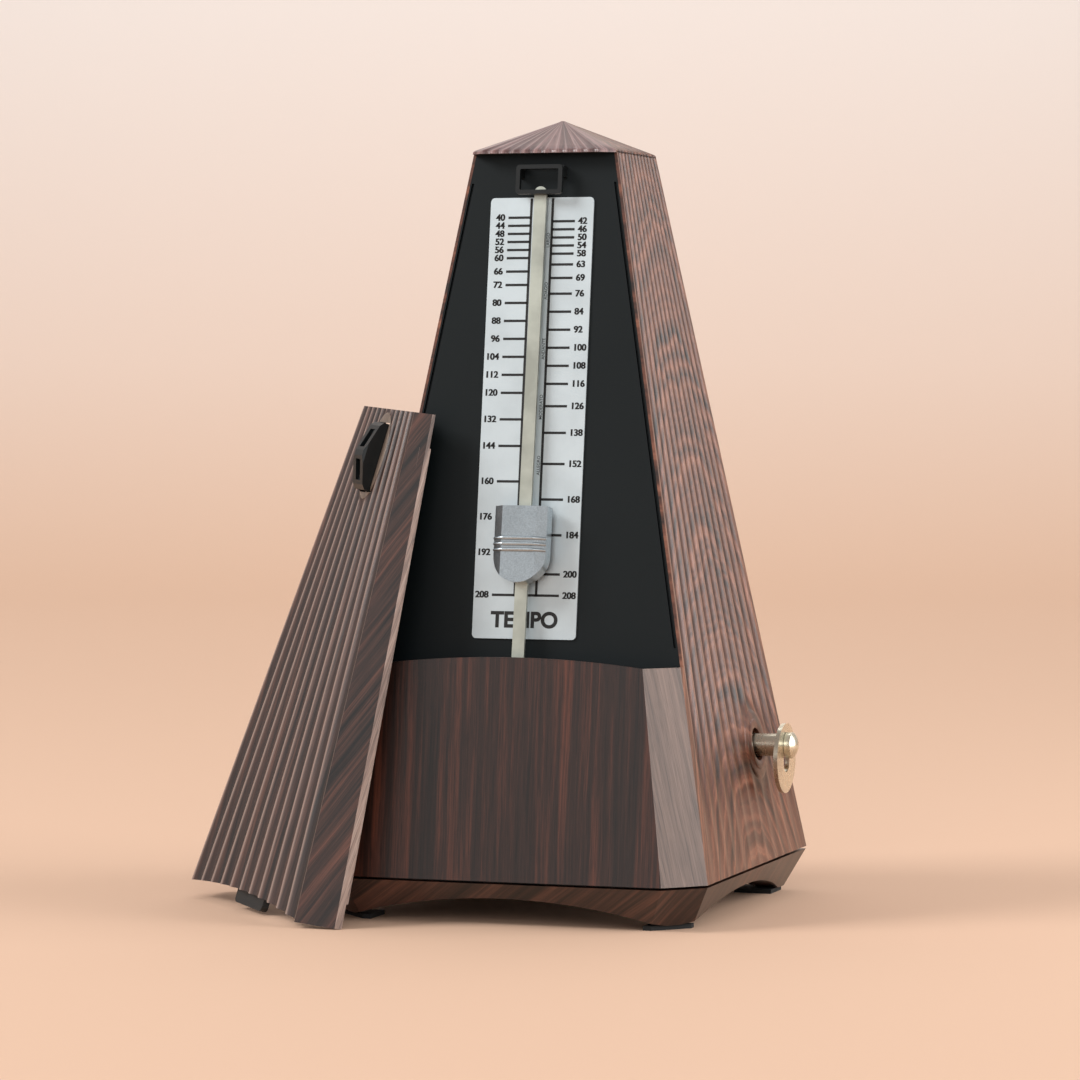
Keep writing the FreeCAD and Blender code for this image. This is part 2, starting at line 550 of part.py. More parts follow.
def build_frame():
    thick, inner = size("sheet_thick"), size("plate_x")
    clear = size("running")
    right_holes = [(*ARBOR, size("arbor_radius") + clear), (*CLICK, 1.2)]
    left_holes = [(*ESCAPE, 0.8 + clear), (*ARBOR, 2.0 + clear)]
    for name, start, own in (("left_plate", -inner - thick, left_holes), ("right_plate", inner, right_holes)):
        outline = Part.makeBox(thick, 80.0, 56.5, Vec(start, -38.0, size("seam_z") + 1.5))
        corners = [edge for edge in outline.Edges if abs(edge.tangentAt(0).x) > 0.9]
        outline = outline.makeFillet(3.0, corners)
        outline = outline.cut(Part.makeBox(3 * thick, 8.0, 9.0, Vec(start - thick, -39.5, 66.3)))
        foot_x = start + thick - 0.01 if start > 0 else start - 8.0 + 0.01
        foot = Part.makeBox(8.0, 66.0, 1.2, Vec(foot_x, -32.0, size("seam_z") + 1.5))
        shape = outline.fuse(foot)
        for y, z, radius in [(*SECOND, 0.8 + clear), *own, *((y, z, 1.2) for y, z in PILLARS)]:
            shape = shape.cut(Part.makeCylinder(radius, 4 * thick, Vec(start - thick, y, z), Vec(1, 0, 0)))
        for y in FRAME_SCREWS_Y:
            centre = math.copysign(size("frame_screw_x"), start)
            shape = shape.cut(Part.makeCylinder(1.3, 9.0, Vec(centre, y, size("seam_z")), Vec(0, 0, 1)))
        feature(name, shape.removeSplitter())

    pillars, screws = [], []
    for y, z in PILLARS:
        pillars.append(Part.makeCylinder(size("pillar_radius"), 2 * inner, Vec(-inner, y, z), Vec(1, 0, 0)))
        for side in (-1, 1):
            outer = side * (inner + thick)
            head = Part.makeCylinder(2.2, 1.4, Vec(outer, y, z), Vec(side, 0, 0))
            shank = Part.makeCylinder(1.2, thick, Vec(outer, y, z), Vec(-side, 0, 0))
            slot = Part.makeBox(1.0, 5.0, 0.5, Vec(outer + (1.0 if side > 0 else -2.0), y - 2.5, z - 0.25))
            screws.append(head.fuse(shank).cut(slot))
    feature("frame_pillars", Part.makeCompound(pillars))
    feature("pillar_screws", Part.makeCompound(screws))

    short, long = [], []
    for side, end in CORNERS:
        centre = Vec(side * size("frame_screw_x"), FRAME_SCREWS_Y[end > 0], size("seam_z") + 2.7)
        head = Part.makeCylinder(2.3, 1.4, centre, Vec(0, 0, 1))
        short.append(head.fuse(Part.makeCylinder(1.3, 6.0, centre, Vec(0, 0, -1))))
        centre = Vec(side * size("post_place"), end * size("post_place"), 6.0)
        head = Part.makeCylinder(2.8, 1.6, centre, Vec(0, 0, -1))
        long.append(head.fuse(Part.makeCylinder(size("base_screw_radius"), 17.0, centre, Vec(0, 0, 1))))
    feature("movement_screws", Part.makeCompound(short))
    feature("base_screws", Part.makeCompound(long))

    arbor_tunnel = hung(bar_along_arbor(1.0 + clear, -5, 50))
    bar = Part.makeBox(2 * inner, 3.1, 7.0, Vec(-inner, -38.7, 47.5))
    arm = Part.makeBox(2.0, 23.5, 9.0, Vec(-14.0, -38.7, 44.3))
    escape_hole = Part.makeCylinder(1.1 + clear, 20, Vec(-20, *ESCAPE), Vec(1, 0, 0))
    feature("front_bar", bar.fuse(arm).cut(arbor_tunnel).cut(escape_hole).removeSplitter())

    beam = Part.makeBox(inner + 2.0, 3.0, 6.0, Vec(-2.0, -10.2, 51.0))
    lug = Part.makeBox(5.0, 3.0, 8.5, Vec(-2.5, -10.2, 43.0))
    feature("rear_cock", beam.fuse(lug).cut(arbor_tunnel).removeSplitter())


def two_centre_spiral(inner, pitch, coils, width):
    """A flat spiral band of half circles, drawn in XY; its ends are square."""
    edges = []
    for offset, forward in ((0.0, True), (width, False)):
        run = []
        radius, centre, sign, x = inner + offset, 0.0, 1, inner + offset
        for turn in range(2 * coils):
            end = centre - sign * radius
            top = Vec(centre, sign * radius, 0)
            run.append(Part.Arc(Vec(centre + sign * radius, 0, 0), top, Vec(end, 0, 0)).toShape())
            centre, radius, sign = centre + sign * pitch / 2, radius + pitch / 2, -sign
            x = end
        edges.append((run, Vec(x, 0, 0)))
    (inside, inside_end), (outside, outside_end) = edges
    start = Part.makeLine(Vec(inner, 0, 0), Vec(inner + width, 0, 0))
    finish = Part.makeLine(inside_end, outside_end)
    return Part.Face(Part.Wire(Part.__sortEdges__(inside + outside + [start, finish])))


def build_winding():
    """Mainspring, winding arbor, ratchet, click and the key outside the case."""
    band = two_centre_spiral(3.9, 1.5, 7, 0.5).extrude(Vec(0, 0, 22.0))
    feature("mainspring", across(band, -11.0, *ARBOR))

    radius = size("arbor_radius")
    arbor = disc(radius, size("plate_x") + 30.0).fuse(disc(2.0, 16.3, -16.2))
    feature("winding_arbor", across(arbor, -17.0, *ARBOR))

    teeth = 18
    points = []
    for tooth in range(teeth):
        start = 2 * math.pi * tooth / teeth
        points.append(Vec(9.0 * math.cos(start), 9.0 * math.sin(start), 0))
        points.append(Vec(7.4 * math.cos(start + 0.02), 7.4 * math.sin(start + 0.02), 0))
    ratchet = Part.Face(Part.makePolygon(points + points[:1])).extrude(Vec(0, 0, 2.0)).cut(disc(radius, 6, -2))
    feature("ratchet_wheel", across(ratchet, 34.0, *ARBOR))

    arm = Part.Face(Part.makePolygon([Vec(-1.6, -1.6, 0), Vec(1.6, -1.6, 0), Vec(6.4, -2.7, 0), Vec(6.4, -1.9, 0),
                                      Vec(1.8, 1.6, 0), Vec(-1.6, 1.6, 0), Vec(-1.6, -1.6, 0)]))
    click = arm.extrude(Vec(0, 0, 2.0)).fuse(disc(2.4, 2.0)).cut(disc(1.25, 6, -2))
    feature("click", across(click.removeSplitter(), 34.0, *CLICK))
    screw = disc(1.2, 6.6, -3.0).fuse(disc(2.4, 1.2, 3.6))
    feature("click_screw", across(screw, 34.0, *CLICK))
    coil = disc(2.1, 1.2, 2.1).cut(disc(1.4, 3, 1))
    leg = Part.makeBox(4.6, 0.6, 0.6, Vec(0, 1.5, 2.1))
    feature("click_spring", across(coil.fuse(leg), 34.0, *CLICK))


def build_key():
    """Stem, the slotted round plate that hangs on its neck, and the domed cap."""
    start, drop, slot_long = size("stem_start"), size("key_drop"), size("key_slot_long")
    plate_x, thick, radius = size("key_plate_x"), size("key_plate_thick"), size("stem_radius")
    stem = disc(radius, plate_x - start).cut(disc(size("arbor_radius"), 3.0, -0.2))
    stem = stem.fuse(disc(2.9, thick + 0.2, plate_x - start))
    feature("key_stem", across(stem.removeSplitter(), start, *ARBOR, 0))

    dome = Part.makeSphere(5.2, Vec(0, 0, -1.9)).common(disc(3.7, 4.0))
    cap = dome.fuse(disc(3.7, 1.0))
    feature("key_cap", across(cap.removeSplitter(), plate_x + thick + 0.2, *ARBOR))

    outline = disc(size("key_plate_radius"), thick)
    ends = [Part.makeCylinder(3.0, thick + 2, Vec(0, y, -1)) for y in (drop, drop - slot_long)]
    slot = Part.makeBox(6.0, slot_long, thick + 2, Vec(-3.0, drop - slot_long, -1)).fuse(ends)
    feature("key_plate", across(outline.cut(slot), plate_x + 0.1, ARBOR[0], ARBOR[1] - drop))


build_frame()
build_winding()
build_key()

# ---------------------------------------------------------------- front cover, drawn closed and then leaned
COVER_FOOT = Vec(0, -46.7, 70.0)
COVER_TURNS = ((Vec(0, 0, 1), -44.80), (Vec(1, 0, 0), -7.23), (Vec(0, 1, 0), 2.51))
COVER_REST = App.Placement(Vec(-78.6, -49.15, 3.43), App.Rotation())
for turn_axis, degrees in COVER_TURNS:
    COVER_REST = COVER_REST.multiply(App.Placement(Vec(), App.Rotation(turn_axis, degrees)))


def leaned(made):
    """Moves a finished object from its closed place to where the cover leans."""
    made.Placement = COVER_REST.multiply(App.Placement(-COVER_FOOT, App.Rotation())).multiply(made.Placement)
    return made


def build_cover():
    """The ribbed front cover with its side returns, tab and latch."""
    top, low = "cover_top", "shelf_z"
    outer = pyramid_block(low, top)
    inner = pyramid_block(f"{low} - 1", f"{top} - cover_wall", "cover_wall")
    ahead = ahead_of_panel(low, top, "-0.2")
    latch_hole = box(("-latch_wide / 2 - 0.3", "-half_seam", "latch_z - latch_long / 2 - 0.2"),
                     ("latch_wide / 2 + 0.3", "0", "latch_z + latch_long / 2 + 0.2"))
    bore_at = ("-latch_wide / 2 - 1.6", f"-{half_at('latch_z')} + 1.0", "latch_z - 0.18")
    bore = rod(bore_at, "0.75", "latch_wide + 3.2")
    node("cover_shell", cut(common(cut(outer, inner), ahead), lip_arch("cover_gap"), latch_hole, bore))


def build_cover_fittings():
    """Black tab at the cover's foot and the roof-shaped latch on its pin."""
    slope = math.degrees(math.atan(size("taper")))
    foot = half(size("shelf_z"))
    wide, drop = size("tab_wide"), size("tab_drop")
    tab = Part.makeBox(wide, 2.0, drop + 8.0, Vec(-wide / 2, 0, -drop))
    tab = tab.makeFillet(1.5, [edge for edge in tab.Edges
                               if abs(edge.tangentAt(0).y) > 0.9 and edge.CenterOfMass.z < 0])
    inside = -(foot - size("taper") * size("lip_rise")) + size("cover_wall") + 0.25
    tab.Placement = App.Placement(Vec(0, inside, size("shelf_z") + size("lip_rise")),
                                  App.Rotation(Vec(1, 0, 0), -slope))
    feature("cover_tab", tab)

    long, wide, proud = size("latch_long"), size("latch_wide"), size("latch_proud")
    side = Part.Face(Part.makePolygon([
        Vec(0, 2.2, -long / 2), Vec(0, 2.2, long / 2), Vec(0, -proud + 3.4, long / 2),
        Vec(0, -proud + 2.4, long / 2 - 1.2), Vec(0, -proud, 0.8), Vec(0, -proud, -0.8),
        Vec(0, -proud + 2.4, 1.2 - long / 2), Vec(0, -proud + 3.4, -long / 2), Vec(0, 2.2, -long / 2)]))
    block = side.extrude(Vec(wide, 0, 0))
    block.translate(Vec(-wide / 2, 0, 0))
    for edge_side in (-1, 1):
        corner = Part.Face(Part.makePolygon([
            Vec(edge_side * (wide / 2 - 0.7), -proud - 1, 0), Vec(edge_side * (wide / 2 + 1), -proud - 1, 0),
            Vec(edge_side * (wide / 2 + 1), -proud + 1.7, 0), Vec(edge_side * (wide / 2 - 0.7), -proud, 0),
            Vec(edge_side * (wide / 2 - 0.7), -proud - 1, 0)])).extrude(Vec(0, 0, long))
        corner.translate(Vec(0, 0, -long / 2))
        block = block.cut(corner)
    for low in (-7.4, 1.8):
        block = block.cut(Part.makeBox(wide - 3.6, 3.2, 5.6, Vec(-(wide - 3.6) / 2, -proud - 0.4, low)))
    hook = Part.makeBox(5.0, 3.4, 2.0, Vec(-2.5, 2.1, long / 2 - 2.0))
    bore = Part.makeCylinder(0.80, wide + 2, Vec(-wide / 2 - 1, 1.0, 0), Vec(1, 0, 0))
    block = block.fuse(hook).cut(bore)
    pin = Part.makeCylinder(0.74, wide + 3.0, Vec(-wide / 2 - 1.5, 1.0, 0), Vec(1, 0, 0))
    face = App.Placement(Vec(0, -half(size("latch_z")), size("latch_z")), App.Rotation(Vec(1, 0, 0), -slope))
    for name, shape in (("cover_latch", block.removeSplitter()), ("latch_pin", pin)):
        shape.Placement = face.multiply(shape.Placement)
        feature(name, shape)


build_cover()
build_cover_fittings()
doc.recompute()
for name in ("cover_shell", "cover_tab", "cover_latch", "latch_pin"):
    leaned(NODES[name])
doc.recompute()

# ---------------------------------------------------------------- checks and files
failed = [made.Label for made in doc.Objects if set(made.State) & {"Invalid", "Error"}]
if failed:
    raise SystemExit("failed objects: " + ", ".join(failed))
for name, made in NODES.items():
    shape = made.Shape
    if shape.isNull() or not shape.isValid() or not shape.Solids:
        raise SystemExit("bad shape: " + name)
for name, made in NODES.items():
    made.Shape.exportStep(f"parts/{name}.step")
print(len(NODES), "nodes")
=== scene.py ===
"""Looks of the clockwork pyramid metronome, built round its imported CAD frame.

The object's sizes are in millimetres and MM turns them into metres; the stage, lights and camera are in
metres. The frame's origin is on the ground under the case's centre, +Z up, front towards -Y.
"""
import math

import bmesh
import bpy
from mathutils import Euler, Matrix, Vector

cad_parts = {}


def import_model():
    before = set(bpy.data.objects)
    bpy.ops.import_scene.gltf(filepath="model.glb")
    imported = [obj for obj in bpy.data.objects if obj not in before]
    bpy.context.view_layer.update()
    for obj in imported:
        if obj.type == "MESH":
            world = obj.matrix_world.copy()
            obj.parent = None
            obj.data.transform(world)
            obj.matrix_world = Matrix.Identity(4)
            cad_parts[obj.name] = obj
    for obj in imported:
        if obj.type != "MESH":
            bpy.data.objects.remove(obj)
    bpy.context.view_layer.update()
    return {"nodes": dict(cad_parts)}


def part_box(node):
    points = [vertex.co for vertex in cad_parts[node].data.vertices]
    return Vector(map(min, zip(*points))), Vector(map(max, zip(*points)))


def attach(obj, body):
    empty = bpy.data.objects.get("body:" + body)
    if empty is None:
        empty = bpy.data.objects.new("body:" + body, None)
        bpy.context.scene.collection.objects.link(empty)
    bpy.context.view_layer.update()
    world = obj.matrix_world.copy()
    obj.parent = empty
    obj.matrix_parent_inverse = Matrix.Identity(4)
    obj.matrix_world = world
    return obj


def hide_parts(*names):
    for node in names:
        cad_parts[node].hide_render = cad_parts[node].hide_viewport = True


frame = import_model()

# ---------------------------------------------------------------- driving sizes, in millimetres
MM = 0.001
CASE_LOW, CASE_HIGH = (Vector(corner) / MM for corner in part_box("case_shell"))
HALF_SEAM = CASE_HIGH.x
SEAM_Z = CASE_LOW.z
TIP_Z = CASE_HIGH.z
TAPER = 0.17739
CHAMFER = 0.18
PANEL_SHARE = 0.769
WALL = 2.6
RIM = 0.8
SHELF_Z = 70.0
LIP_RISE = 2.3
HOOD_Z = 211.0
KEY_Y, KEY_Z, KEY_BORE = 21.5, 44.5, 4.7
PIVOT_Y, PIVOT_Z = -42.3, 52.0
LEAN = math.radians(8.8)
PANEL_TILT = math.atan(PANEL_SHARE * TAPER)
FLUTE_DEEP = 0.021
FLUTES_END = 0.955
FRONT_FLUTES, SIDE_FLUTES = 11, 12
COVER_EDGE = PANEL_SHARE + 0.004
COVER_WALL = 2.0
COVER_FOOT = Vector((0, -46.7, 70.0))
COVER_PLACE = Vector((-78.6, -49.15, 3.43))
COVER_TURNS = (-44.80, -7.23, 2.51)


def half(height):
    """The case's half width at a height."""
    return HALF_SEAM - TAPER * (height - SEAM_Z)


def smooth(low, high, value):
    """0 below low, 1 above high and an S-curve between."""
    share = min(max((value - low) / (high - low), 0.0), 1.0)
    return share * share * (3 - 2 * share)


def lip_rise(x):
    """How far the lower front's top edge stands above its corners."""
    chord = half(SHELF_Z) * (1 - CHAMFER)
    radius = (chord ** 2 + LIP_RISE ** 2) / (2 * LIP_RISE)
    return max(0.0, math.sqrt(max(radius ** 2 - x ** 2, 0)) - radius + LIP_RISE)


# ---------------------------------------------------------------- materials
class Nodes:
    """A small helper that adds and joins the nodes of one material."""

    def __init__(self, name):
        self.material = bpy.data.materials.new(name)
        self.material.use_nodes = True
        self.tree = self.material.node_tree
        self.shader = self.tree.nodes["Principled BSDF"]

    def add(self, kind, inputs=None, **settings):
        node = self.tree.nodes.new(kind)
        for key, value in settings.items():
            setattr(node, key, value)
        for key, value in (inputs or {}).items():
            self.set(node, key, value)
        return node

    def set(self, node, key, value):
        if isinstance(value, bpy.types.NodeSocket):
            self.tree.links.new(value, node.inputs[key])
        else:
            node.inputs[key].default_value = value

    def math(self, operation, first, second=0.0):
        return self.add("ShaderNodeMath", {0: first, 1: second}, operation=operation).outputs[0]

    def ramp(self, value, stops):
        node = self.add("ShaderNodeValToRGB", {"Fac": value})
        while len(node.color_ramp.elements) < len(stops):
            node.color_ramp.elements.new(0.5)
        for element, (position, colour) in zip(node.color_ramp.elements, stops):
            element.position = position
            element.color = (*rgb(*colour), 1.0) if len(colour) == 3 else (colour[0],) * 3 + (1.0,)
        return node.outputs["Color"]

    def noise(self, vector, scale, detail=3.0, roughness=0.5):
        node = self.add("ShaderNodeTexNoise", {"Vector": vector, "Scale": scale, "Detail": detail,
                                               "Roughness": roughness})
        return node.outputs["Fac"]

    def mix(self, factor, first, second, blend="MIX"):
        node = self.add("ShaderNodeMix", data_type="RGBA", blend_type=blend)
        for index, value in ((0, factor), (6, first), (7, second)):
            self.set(node, index, value)
        return node.outputs[2]

    def stretched(self, source, scale):
        node = self.add("ShaderNodeMapping", {"Vector": source, "Scale": scale})
        return node.outputs["Vector"]

    def bump(self, value, strength, distance):
        node = self.add("ShaderNodeBump", {"Height": value, "Strength": strength, "Distance": distance})
        self.tree.links.new(node.outputs["Normal"], self.shader.inputs["Normal"])

    def surface(self, **sockets):
        for key, value in sockets.items():
            self.set(self.shader, key.replace("_", " "), value)
        return self.material


def rgb(red, green, blue):
    """A colour given in 0-255 screen values, as linear light."""
    def linear(value):
        value /= 255
        return value / 12.92 if value <= 0.04045 else ((value + 0.055) / 1.055) ** 2.4
    return linear(red), linear(green), linear(blue)


def wood(name, dark, middle, light, streaks=1.0, slant=0.0, wavy=0.05, arches=0.0, arch_foot=(0, 0), seed=0.0,
         ridge_highlight=(172, 150, 142), ridge_highlight_share=0.5, on_object=False):
    """Printed rosewood grain on the grain map: U runs across a face and V up it, both in decimetres.

    The mesh attribute "relief" is 1 on a flute's ridge, -1 at its deepest point and 0 on plain faces; the
    ridges get a painted highlight and the hollows painted shade.
    """
    m = Nodes(name)
    if on_object:
        parts = m.add("ShaderNodeSeparateXYZ", {0: m.add("ShaderNodeTexCoord").outputs["Object"]})
        sideways = m.math("ADD", parts.outputs[0], parts.outputs[1])
        flat = m.add("ShaderNodeCombineXYZ", {"X": sideways, "Y": parts.outputs[2]}).outputs[0]
        grain = m.stretched(flat, (10, 10, 10))
    else:
        grain = m.add("ShaderNodeUVMap", uv_map="grain").outputs["UV"]
    turned = m.add("ShaderNodeMapping", {"Vector": grain, "Location": (seed, seed * 1.7, 0),
                                         "Rotation": (0, 0, slant)}).outputs["Vector"]
    wander = m.noise(m.stretched(turned, (3.0, 1.1, 1)), 1.6, 2.0)
    shift = m.add("ShaderNodeCombineXYZ", {"X": m.math("MULTIPLY", wander, wavy)}).outputs[0]
    bent = m.add("ShaderNodeVectorMath", {0: turned, 1: shift}, operation="ADD").outputs[0]
    broad = m.noise(m.stretched(bent, (7 * streaks, 0.35, 1)), 1.0, 3.0, 0.6)
    middling = m.noise(m.stretched(bent, (34 * streaks, 0.7, 1)), 1.0, 2.0, 0.6)
    fine = m.noise(m.stretched(bent, (95 * streaks, 1.8, 1)), 1.0, 4.0, 0.75)
    pores = m.noise(m.stretched(bent, (260 * streaks, 9.0, 1)), 1.0, 2.0, 0.7)
    value = m.math("ADD", m.math("MULTIPLY", broad, 0.34), m.math("MULTIPLY", middling, 0.36))
    value = m.math("ADD", value, m.math("MULTIPLY", fine, 0.30))
    if arches:
        parts = m.add("ShaderNodeSeparateXYZ", {0: grain})
        across = m.math("SUBTRACT", parts.outputs[0], arch_foot[0])
        along = m.math("SUBTRACT", parts.outputs[1], arch_foot[1])
        bow = m.math("MULTIPLY", m.math("MULTIPLY", across, across), 3.2)
        uneven = m.noise(m.stretched(grain, (5, 2.0, 1)), 1.0, 3.0)
        ragged = m.noise(m.stretched(grain, (140, 5, 1)), 1.0, 2.0, 0.7)
        away = m.math("ADD", m.math("ADD", along, bow), m.math("MULTIPLY", uneven, 0.24))
        away = m.math("ADD", away, m.math("MULTIPLY", ragged, 0.035))
        ring = m.add("ShaderNodeCombineXYZ", {"X": m.math("MULTIPLY", away, 19.0)}).outputs[0]
        band = m.noise(ring, 1.0, 3.0, 0.6)
        value = m.math("ADD", m.math("MULTIPLY", value, 1 - arches), m.math("MULTIPLY", band, arches))
    colour = m.ramp(value, [(0.40, dark), (0.50, middle), (0.61, light)])
    specks = m.ramp(pores, [(0.38, (0.50,)), (0.52, (1.0,))])
    colour = m.mix(0.8, colour, specks, "MULTIPLY")
    relief = m.add("ShaderNodeAttribute", attribute_name="relief", attribute_type="GEOMETRY").outputs["Fac"]
    # painted highlight: a flute's ridges are mixed towards the lighter ridge colour, standing in for the
    # gloss that catches the light there
    ridge = m.math("POWER", m.math("MAXIMUM", relief, 0.0), 3.0)
    colour = m.mix(m.math("MULTIPLY", ridge, ridge_highlight_share), colour, (*rgb(*ridge_highlight), 1))
    # painted shade: a flute's hollows are darkened down to 0.42, standing in for the shade that falls in them
    hollow_shade = m.ramp(m.math("ADD", m.math("MULTIPLY", relief, 0.5), 0.5), [(0.0, (0.42,)), (0.5, (1.0,))])
    colour = m.mix(1.0, colour, hollow_shade, "MULTIPLY")
    m.bump(pores, 0.10, 0.0002)
    rough = m.math("ADD", m.math("MULTIPLY", fine, 0.12), 0.30)
    return m.surface(Base_Color=colour, Roughness=rough, Coat_Weight=0.25, Coat_Roughness=0.22)


def plastic(name, colour, roughness, grain_scale=900.0, bump=0.06, sheen=0.5):
    """Moulded plastic with a fine spark texture and slightly uneven gloss; sheen is its mirror reflection."""
    m = Nodes(name)
    place = m.add("ShaderNodeTexCoord").outputs["Object"]
    spark = m.noise(place, grain_scale, 2.0)
    cloud = m.noise(place, 28.0, 3.0)
    lighter = [channel * 1.25 + 3 for channel in colour]
    shade = m.mix(m.math("MULTIPLY", cloud, 0.6), (*rgb(*colour), 1), (*rgb(*lighter), 1))
    m.bump(spark, bump, 0.0003)
    rough = m.math("ADD", m.math("MULTIPLY", cloud, 0.14), roughness)
    return m.surface(Base_Color=shade, Roughness=rough, Specular_IOR_Level=sheen)


def metal(name, colour, roughness, brushed=(1, 1, 1), scale=500.0, stain=0.0, bump=0.05, speckle=0.0):
    """Metal with a brushed or cast texture: brushed stretches it along one axis, speckle darkens its grit."""
    m = Nodes(name)
    place = m.add("ShaderNodeTexCoord").outputs["Object"]
    lines = m.noise(m.stretched(place, brushed), scale, 3.0, 0.6)
    cloud = m.noise(place, 90.0, 4.0)
    darker = [channel * (0.96 - 0.40 * stain) for channel in colour]
    shade = m.mix(m.ramp(cloud, [(0.35, (0.0,)), (0.62, (1.0,))]), (*rgb(*darker), 1), (*rgb(*colour), 1))
    if speckle:
        grit = m.ramp(m.noise(place, 2600.0, 2.0, 0.7), [(0.36, (1 - speckle,)), (0.62, (1.0,))])
        shade = m.mix(1.0, shade, grit, "MULTIPLY")
    m.bump(lines, bump, 0.0002)
    rough = m.math("ADD", m.math("MULTIPLY", lines, 0.16), roughness)
    return m.surface(Base_Color=shade, Roughness=rough, Metallic=1.0)


# ---------------------------------------------------------------- mesh building
def mesh_object(name, vertices, faces, materials, face_slots=None, uvs=None, sharp=35.0, relief=None):
    """A smooth-shaded mesh in millimetres, with its grain map, its flutes' relief and its face materials."""
    mesh = bpy.data.meshes.new(name)
    mesh.from_pydata([Vector(v) * MM for v in vertices], [], faces)
    made = bpy.data.objects.new(name, mesh)
    bpy.context.collection.objects.link(made)
    for material in materials:
        mesh.materials.append(material)
    if face_slots:
        mesh.polygons.foreach_set("material_index", face_slots)
    if uvs:
        layer = mesh.uv_layers.new(name="grain")
        for polygon, corners in zip(mesh.polygons, uvs):
            for loop, corner in zip(polygon.loop_indices, corners):
                layer.data[loop].uv = corner
    if relief:
        mesh.attributes.new("relief", "FLOAT", "POINT").data.foreach_set("value", relief)
    mesh.validate()
    mesh.shade_smooth()
    mesh.set_sharp_from_angle(angle=math.radians(sharp))
    return made


def apply_modifiers(made):
    """Replaces an object's mesh by its modified one."""
    evaluated = made.evaluated_get(bpy.context.evaluated_depsgraph_get())
    mesh = bpy.data.meshes.new_from_object(evaluated)
    made.modifiers.clear()
    made.data = mesh
    return made


def cut_with(made, tool):
    """Takes a tool's volume out of an object and removes the tool."""
    modifier = made.modifiers.new("cut", "BOOLEAN")
    modifier.object = tool
    modifier.operation = "DIFFERENCE"
    modifier.solver = "EXACT"
    apply_modifiers(made)
    bpy.data.objects.remove(tool)
    return made


def flute_depth(share):
    """Depth of one concave flute across its width, 0 at its narrow flat ridges and 1 in the middle."""
    ridge = 0.07
    inner = min(max((share - ridge) / (1 - 2 * ridge), 0.0), 1.0)
    return 1 - (2 * inner - 1) ** 2


class Run:
    """One straight face of the case's outline, in shares of the half width, with its number of flutes."""

    def __init__(self, start, end, flutes, style, steps=1):
        self.start, self.end, self.flutes, self.style = Vector(start), Vector(end), flutes, style
        self.steps = steps
        direction = (self.end - self.start).normalized()
        self.inward = Vector((-direction.y, direction.x))

    def points(self):
        """(share point, inward direction, flute depth or None, style), but for the run's last point."""
        stations = []
        if self.flutes:
            per_flute = (0.0, 0.05, 0.12, 0.22, 0.36, 0.5, 0.64, 0.78, 0.88, 0.95)
            for flute in range(self.flutes):
                for share in per_flute:
                    stations.append(((flute + share) / self.flutes, flute_depth(share)))
        else:
            stations += [(step / self.steps, None) for step in range(self.steps)]
        return [(self.start.lerp(self.end, at), self.inward, depth, self.style) for at, depth in stations]


FRONT, FACET, SIDE, STRIP, BACK, INSIDE = range(6)
CORNER = 1 - CHAMFER
STRIP_END = -0.745


def fluted_side(sign):
    """The runs of one side face from the black front's edge to the back corner."""
    runs = [Run((sign, -PANEL_SHARE), (sign, STRIP_END), 0, SIDE),
            Run((sign, STRIP_END), (sign, FLUTES_END), SIDE_FLUTES, SIDE),
            Run((sign, FLUTES_END), (sign, 1), 0, SIDE)]
    if sign > 0:
        return runs
    return [Run(run.end, run.start, run.flutes, run.style) for run in reversed(runs)]


def back_runs():
    return [Run((1, 1), (FLUTES_END, 1), 0, BACK),
            Run((FLUTES_END, 1), (-FLUTES_END, 1), SIDE_FLUTES, BACK),
            Run((-FLUTES_END, 1), (-1, 1), 0, BACK)]


def sheet_points(runs, closed):
    points = [point for run in runs for point in run.points()]
    if not closed:
        last = runs[-1]
        points.append((last.end, last.inward, None, last.style))
    return points


def grain_map(style, spot):
    """Where a point lies on its face's grain map: across the face and up it, in decimetres."""
    across = {FRONT: spot.x, BACK: spot.x, SIDE: spot.y, STRIP: spot.y, INSIDE: spot.x + spot.y,
              FACET: (abs(spot.x) + spot.y) / math.sqrt(2)}[style]
    return across / 100, spot.z / 100


